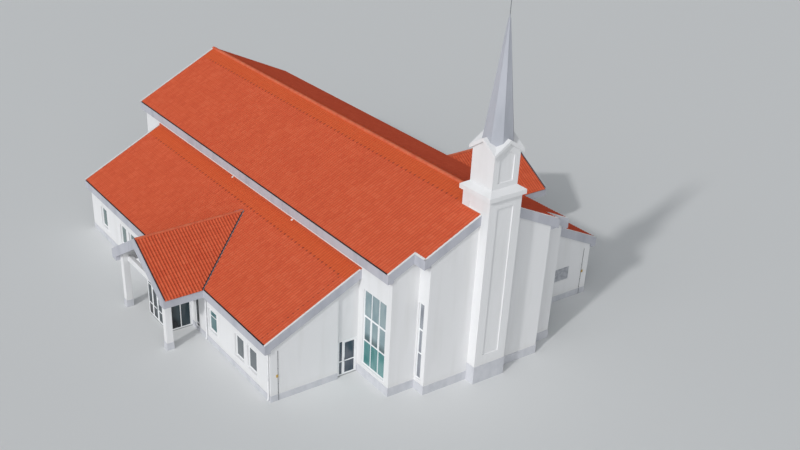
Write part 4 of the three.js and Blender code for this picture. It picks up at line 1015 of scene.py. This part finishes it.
leaf_x = (SIDE_INNER + SIDE_FRAME + DOOR_GAP, SIDE_MULLION - DOOR_GAP)
leaf_z = (FLOOR_Z + DOOR_GAP, SIDE_HEAD - SIDE_FRAME - DOOR_GAP)
corner_x = SIDE_INNER + SIDE_FRAME
place = facing_y(DOOR_FACE + FRONT)
for side_name, side in SIDES.items():
    tall = (FLOOR_Z, SIDE_HEAD)
    frames = [block(place, mirrored(side, SIDE_INNER, corner_x), tall, DEEP_W)]
    head = mirrored(side, SIDE_INNER + REBATE, BAY_X - REBATE)
    head_z = (SIDE_HEAD - SIDE_FRAME, SIDE_HEAD - REBATE)
    frames.append(block(place, head, head_z, inset(DEEP_W, REBATE)))
    frames.append(block(place, mirrored(side, SIDE_MULLION, SIDE_MULLION + SIDE_FRAME), tall, DEEP_W))
    frames.append(block(place, mirrored(side, BAY_X - SIDE_POST, BAY_X), tall, DEEP_W))
    light = mirrored(side, SIDE_MULLION + SIDE_FRAME, BAY_X - SIDE_POST)
    for bar in ((FLOOR_Z, FLOOR_Z + SIDE_FRAME), around(SIDE_RAIL_Z, SIDE_FRAME)):
        frames.append(block(place, inset(light, -GLASS_LAP), bar, inset(DEEP_W, 2 * REBATE)))
    panes = [pane(place, inset(light, -GLASS_LAP), inset(tall, SIDE_FRAME - GLASS_LAP), FIXED_GLASS_W)]
    u = mirrored(side, *leaf_x)
    leaf_frames, leaf_panes = leaf_parts(place, u, leaf_z, SIDE_RAIL_Z)
    handles = pull(place, side * (leaf_x[1] - LEAF_STILE / 2), PULL_Z)
    corner = [side * corner_x, DOOR_FACE + FRONT]
    if side_name == "left":
        leaf = "side_door_leaf"
        hinged = hinge_halves(corner, [side, 0], [0, -1], SIDE_HINGES, on_leaf=True)
        fix("side_leaf_frame", leaf_frames, painted_frame, "frame_white", leaf, body=leaf)
        fix("side_leaf_pane", leaf_panes, door_glass, "window_glass", body=leaf)
        fix("side_leaf_pull", handles, satin_steel, "frame_white", body=leaf)
        fix("side_leaf_hinges", hinged, painted_frame, "frame_white", body=leaf)
        frames += hinge_halves(corner, [side, 0], [0, -1], SIDE_HINGES, on_leaf=False)
    else:
        frames += leaf_frames
        panes += leaf_panes
        fix("side_pull_right", handles, satin_steel, "frame_white")
    replaced = f"side_door_frame_{side_name}"
    fix(f"side_door_surround_{side_name}", frames, painted_frame, "frame_white", replaced)
    fix(f"side_door_panes_{side_name}", panes, door_glass, "window_glass")

# Lobbies
# A glazed lobby of white aluminium posts and rails stands under each porch, with a light on each side
# of its double door and a fan light over it. A thin boarded roof closes it.
LOBBY_FACE, LOBBY_HALF, LOBBY_TOP, LOBBY_ROOF = 13.45, 1.40, 3.0, 0.12
ENTRANCE_HALF, ENTRANCE_HEAD = 0.75, 2.25
PUSH_RAIL_Z = 0.9
POST, CORNER_POST, WALL_POST, SIDE_BAR = 0.06, 0.09, 0.17, 0.055
SIDE_BAR_X, SIDE_BAR_IN, HAIR = 12.55, 0.01, 0.001
ENTRANCE_HINGES = (0.3, 1.15, 1.95)
LOBBY_GLASS, LOBBY_CLOUDS = ("#1B1D22", "#39464C"), 0.8

lobby_glass = float_glass("lobby_float_glass", LOBBY_GLASS, LOBBY_CLOUDS)

for side_name, side in SIDES.items():
    frames, panes = [], []
    tall = (FLOOR_Z, LOBBY_TOP)
    for turn in (-1, 1):
        place = facing_y(PORCH_MID + turn * LOBBY_HALF, turn)
        u = mirrored(side, WING_FACE, LOBBY_FACE)
        frames.append(block(place, mirrored(side, WING_FACE, WING_FACE + WALL_POST), tall, DEEP_W))
        bar_x = mirrored(side, *around(SIDE_BAR_X, SIDE_BAR))
        frames.append(block(place, bar_x, tall, inset(DEEP_W, SIDE_BAR_IN)))
        frames.append(block(place, mirrored(side, LOBBY_FACE - CORNER_POST, LOBBY_FACE), tall, DEEP_W))
        for bar in ((FLOOR_Z, FLOOR_Z + POST), (LOBBY_TOP - POST, LOBBY_TOP)):
            frames.append(block(place, inset(u, REBATE), inset(bar, HAIR), inset(DEEP_W, REBATE)))
        panes.append(pane(place, inset(u, GLASS_LAP), inset(tall, GLASS_LAP), FIXED_GLASS_W))
    place = facing_x(LOBBY_FACE, side)
    for turn in (-1, 1):
        near, far = PORCH_MID + turn * ENTRANCE_HALF, PORCH_MID + turn * (LOBBY_HALF - CORNER_POST)
        u = tuple(sorted((near, far)))
        frames.append(block(place, tuple(sorted((near, near + turn * POST))), tall, DEEP_W))
        rails = [(FLOOR_Z, FLOOR_Z + POST), (LOBBY_TOP - POST, LOBBY_TOP)]
        rails += [around(PUSH_RAIL_Z, POST), around(ENTRANCE_HEAD + POST / 2, POST)]
        rails = [inset(bar, 2 * HAIR) for bar in rails]
        frames += [block(place, inset(u, -GLASS_LAP), bar, inset(DEEP_W, REBATE)) for bar in rails]
        panes.append(pane(place, u, inset(tall, GLASS_LAP), FIXED_GLASS_W))
    u = around(PORCH_MID, 2 * ENTRANCE_HALF)
    for bar in ((ENTRANCE_HEAD, ENTRANCE_HEAD + POST), (LOBBY_TOP - POST, LOBBY_TOP - REBATE)):
        frames.append(block(place, inset(u, -REBATE), bar, inset(DEEP_W, 2 * REBATE)))
    over = (ENTRANCE_HEAD + REBATE, LOBBY_TOP - 2 * REBATE)
    frames.append(block(place, around(PORCH_MID, POST), over, inset(DEEP_W, 3 * REBATE)))
    panes.append(pane(place, u, inset(over, GLASS_LAP), FIXED_GLASS_W))
    if side_name == "left":
        for turn in (-1, 1):
            jamb = [side * LOBBY_FACE, PORCH_MID + turn * ENTRANCE_HALF]
            frames += hinge_halves(jamb, [0, -turn], [side, 0], ENTRANCE_HINGES, on_leaf=False)
    lid_z = (LOBBY_TOP - 2 * HAIR, LOBBY_TOP + LOBBY_ROOF)
    lid = block(place, around(PORCH_MID, 2 * LOBBY_HALF), lid_z, (WING_FACE - LOBBY_FACE, 0.0))
    fix(f"lobby_roof_{side_name}", [lid], plain_render, "frame_white")
    fix(f"lobby_frame_{side_name}", frames, painted_frame, "frame_white", f"vestibule_{side_name}")
    fix(f"lobby_panes_{side_name}", panes, lobby_glass, "window_glass")

# Entrance doors
# Two glazed leaves of the same aluminium meet in the middle of each lobby, with a mid rail and an
# upright pull. The left pair swings out on hinges at its outer stiles; the right pair is shut.
entrance_z = (FLOOR_Z + DOOR_GAP, ENTRANCE_HEAD - DOOR_GAP)
for side_name, side in SIDES.items():
    place = facing_x(LOBBY_FACE, side)
    for leaf_name, turn in (("front", -1), ("back", 1)):
        hung, free = PORCH_MID + turn * (ENTRANCE_HALF - DOOR_GAP), PORCH_MID + turn * DOOR_GAP / 2
        u = tuple(sorted((hung, free)))
        leaf_frames, leaf_panes = leaf_parts(place, u, entrance_z, PUSH_RAIL_Z)
        handles = pull(place, free + turn * LEAF_STILE / 2, PULL_Z)
        label = f"{leaf_name}_{side_name}"
        body, replaced = "building", []
        if side_name == "left":
            body = f"entrance_leaf_{leaf_name}"
            replaced = [body]
            jamb = [side * LOBBY_FACE, PORCH_MID + turn * ENTRANCE_HALF]
            hinged = hinge_halves(jamb, [0, -turn], [side, 0], ENTRANCE_HINGES, on_leaf=True)
            fix(f"entrance_hinges_{label}", hinged, painted_frame, "frame_white", body=body)
        fix(f"entrance_frame_{label}", leaf_frames, painted_frame, "frame_white", *replaced, body=body)
        fix(f"entrance_pane_{label}", leaf_panes, lobby_glass, "window_glass", body=body)
        fix(f"entrance_pull_{label}", handles, satin_steel, "frame_white", body=body)

# Vent grille
# A fixed louvre of folded aluminium blades in the right wing's front wall, painted light grey.
LOUVRE_TONES = ("#C9CBD0", "#A9ACB3")

grille_paint = mottled("painted_louvre", LOUVRE_TONES, scale=5.0, span=(0.4, 0.7), Roughness=0.45)
dress(["louvre"], grille_paint)

# Belfry gables
# Four small gables cross over the belfry, cast and rendered like the walls and painted white.
dress(["belfry_gables"], plain_render)

# Spire
# Folded steel sheet on eight sides, painted a satin grey that has chalked a little. Each hip is
# covered by a narrow rolled seam, and the sheets lap about every 1.2 m.
SPIRE_TONES = ("#B4B6BE", "#A8ABB3")
SHEET_GRAIN = (3.0, 0.002, 0.3)
SPIRE_FOOT, SPIRE_TIP = (13.9, 0.89), (20.45, 0.06)
HIP_FROM, HIP_R, SPIRE_SIDES = 14.3, 0.009, 8
LAPS_Z = (15.3, 16.5, 17.7, 18.9)
LAP_TALL, LAP_OUT = 0.03, 0.003
TOWER_MID_Y = TOWER_BACK - TOWER_X


def spire_radius(z):
    """The spire's radius to its corners at a height, in a straight line from foot to tip."""
    return np.interp(z, *zip(SPIRE_FOOT, SPIRE_TIP))


def octagon(z, radius):
    """Eight points round the tower's middle, with a flat side to the front."""
    swing = (np.arange(SPIRE_SIDES) + 0.5) * 2 * np.pi / SPIRE_SIDES
    ring = [np.cos(swing) * radius, np.sin(swing) * radius + TOWER_MID_Y, np.full(SPIRE_SIDES, z)]
    return np.stack(ring, -1)


spire_paint = mottled(
    "painted_steel_sheet", SPIRE_TONES, scale=1.2, span=(0.4, 0.7), stretch=(1, 1, 0.25), detail=4.0,
    grain=SHEET_GRAIN, Roughness=0.45, Metallic=0.1
)
feet, tips = octagon(HIP_FROM, spire_radius(HIP_FROM)), octagon(*SPIRE_TIP)
seams = [pipe([foot, tip], HIP_R, sides=8) for foot, tip in zip(feet, tips)]
for z in LAPS_Z:
    levels = [(z, 0), (z, LAP_OUT), (z + LAP_TALL, LAP_OUT), (z + LAP_TALL, 0)]
    rings = [octagon(at, spire_radius(at) + out) for at, out in levels]
    seams.append(hoop(np.stack(rings, axis=1)))
dress(["spire"], spire_paint)
fix("spire_seams", seams, spire_paint, "sheet_metal")

# Lightning rod and conductor
# A galvanised rod stands in a spun metal socket on the spire's tip. An earth cable comes down each
# wing's front wall in clips, with a small yellow test box at chest height.
SOCKET = [(20.30, 0.076), (20.44, 0.064), (20.47, 0.034), (20.60, 0.028), (20.62, 0.022)]
WING_FRONT_Y, PLINTH_OUT = 4.445, 0.032
CABLE_X, CABLE_OUT, CABLE_R = 11.27, 0.016, 0.011
CABLE_AT_WALL, CABLE_AT_PLINTH = (3.29, 0.40), (0.36, 0.01)
BOX_X, BOX_Z, BOX_OUT, BOX_EASE = (11.27, 11.39), (1.56, 1.72), 0.06, 0.01
CLIP_ACROSS, CLIP_TALL, CLIP_PROUD, CLIPS_Z = 0.05, 0.02, 0.03, (0.5, 1.1, 2.1, 2.7)
GALVANISED, CABLE_TONES = ("#9A9DA1", "#7F8388"), ("#54565B", "#3F4146")
BOX_TONES = ("#C9A85A", "#B08F48")

galvanised = mottled(
    "galvanised_steel", GALVANISED, scale=8.0, span=(0.4, 0.6), Roughness=0.45, Metallic=0.8
)
dress(["lightning_rod"], galvanised)
heights, radii = np.array(SOCKET).T
socket_path = [[0, TOWER_MID_Y, height] for height in heights]
fix("rod_socket", [pipe(socket_path, radii, sides=16)], spire_paint, "sheet_metal")
cable_coat = mottled("sheathed_cable", CABLE_TONES, scale=10.0, span=(0.4, 0.6), Roughness=0.6)
box_coat = mottled("yellow_moulded_box", BOX_TONES, scale=12.0, span=(0.4, 0.6), Roughness=0.5)
wing_front = FRONT + WING_FRONT_Y
place = facing_y(wing_front)
for side_name, side in SIDES.items():
    cable_y = wing_front - CABLE_OUT
    at_wall = [[side * CABLE_X, cable_y, z] for z in CABLE_AT_WALL]
    at_plinth = [[side * CABLE_X, cable_y - PLINTH_OUT, z] for z in CABLE_AT_PLINTH]
    cable = pipe(at_wall + at_plinth, CABLE_R, sides=10)
    fix(f"earth_cable_{side_name}", [cable], cable_coat, "bare_steel")
    test_box = block(place, mirrored(side, *BOX_X), BOX_Z, (-WALL_LAP, BOX_OUT), BOX_EASE)
    fix(f"test_box_{side_name}", [test_box], box_coat, "bare_steel")
    clip_x = around(side * CABLE_X, CLIP_ACROSS)
    clips = [block(place, clip_x, around(z, CLIP_TALL), (-WALL_LAP, CLIP_PROUD)) for z in CLIPS_Z]
    fix(f"cable_clips_{side_name}", clips, galvanised, "bare_steel")

# Downpipes
# White plastic pipes 90 mm across take the gutters' water down the walls to a kicked shoe just over
# the ground. Each is held by collars about a metre apart.
PIPE_R, PIPE_OFF, PIPE_TOP, PIPE_FOOT = 0.045, 0.085, 3.31, 0.10
SHOE_UP, SHOE_OUT = 0.14, 0.07
SHOE_BEND = ((0, 1.4), (0.1, 0.9), (0.4, 0.5), (1.0, 0.0))
COLLAR_R, COLLAR_TALL, COLLARS_Z = 0.055, 0.04, (0.75, 1.7, 2.65)
LUG_HALF, LUG_HALF_TALL, PIPE_SIDES = 0.02, 0.012, 16
PIPE_TONES = ("#EDEDEE", "#D9DADC")
PIPES_Y = (4.56, 12.02)

pipe_white = mottled("white_moulded_pipe", PIPE_TONES, scale=4.0, span=(0.45, 0.75), Roughness=0.4)


def downpipe(foot, out):
    """A pipe down a wall that ends in a short bend away from it, with collars and their wall lugs."""
    foot, out = np.array([*foot, 0.0]), np.array([*out, 0.0])
    centre = foot + out * PIPE_OFF
    rise = np.array([0, 0, 1.0])
    shoe = [
        centre + out * SHOE_OUT * share + rise * (PIPE_FOOT + SHOE_UP * up) for share, up in SHOE_BEND
    ]
    parts = [pipe([centre + rise * PIPE_TOP, *shoe], PIPE_R, PIPE_SIDES)]
    for z in COLLARS_Z:
        ring = [centre + rise * (z + half) for half in (-COLLAR_TALL / 2, COLLAR_TALL / 2)]
        parts.append(pipe(ring, COLLAR_R, PIPE_SIDES))
        aside = np.array([abs(out[1]), abs(out[0]), 0]) * LUG_HALF
        lug = rise * LUG_HALF_TALL
        parts.append(cuboid(foot - aside + rise * z - lug, centre + aside + rise * z + lug))
    return parts


for side_name, side in SIDES.items():
    parts = [part for y in PIPES_Y for part in downpipe([side * WING_FACE, y + FRONT], [side, 0])]
    fix(f"downpipes_{side_name}", parts, pipe_white, "frame_white")

bpy.context.view_layer.update()
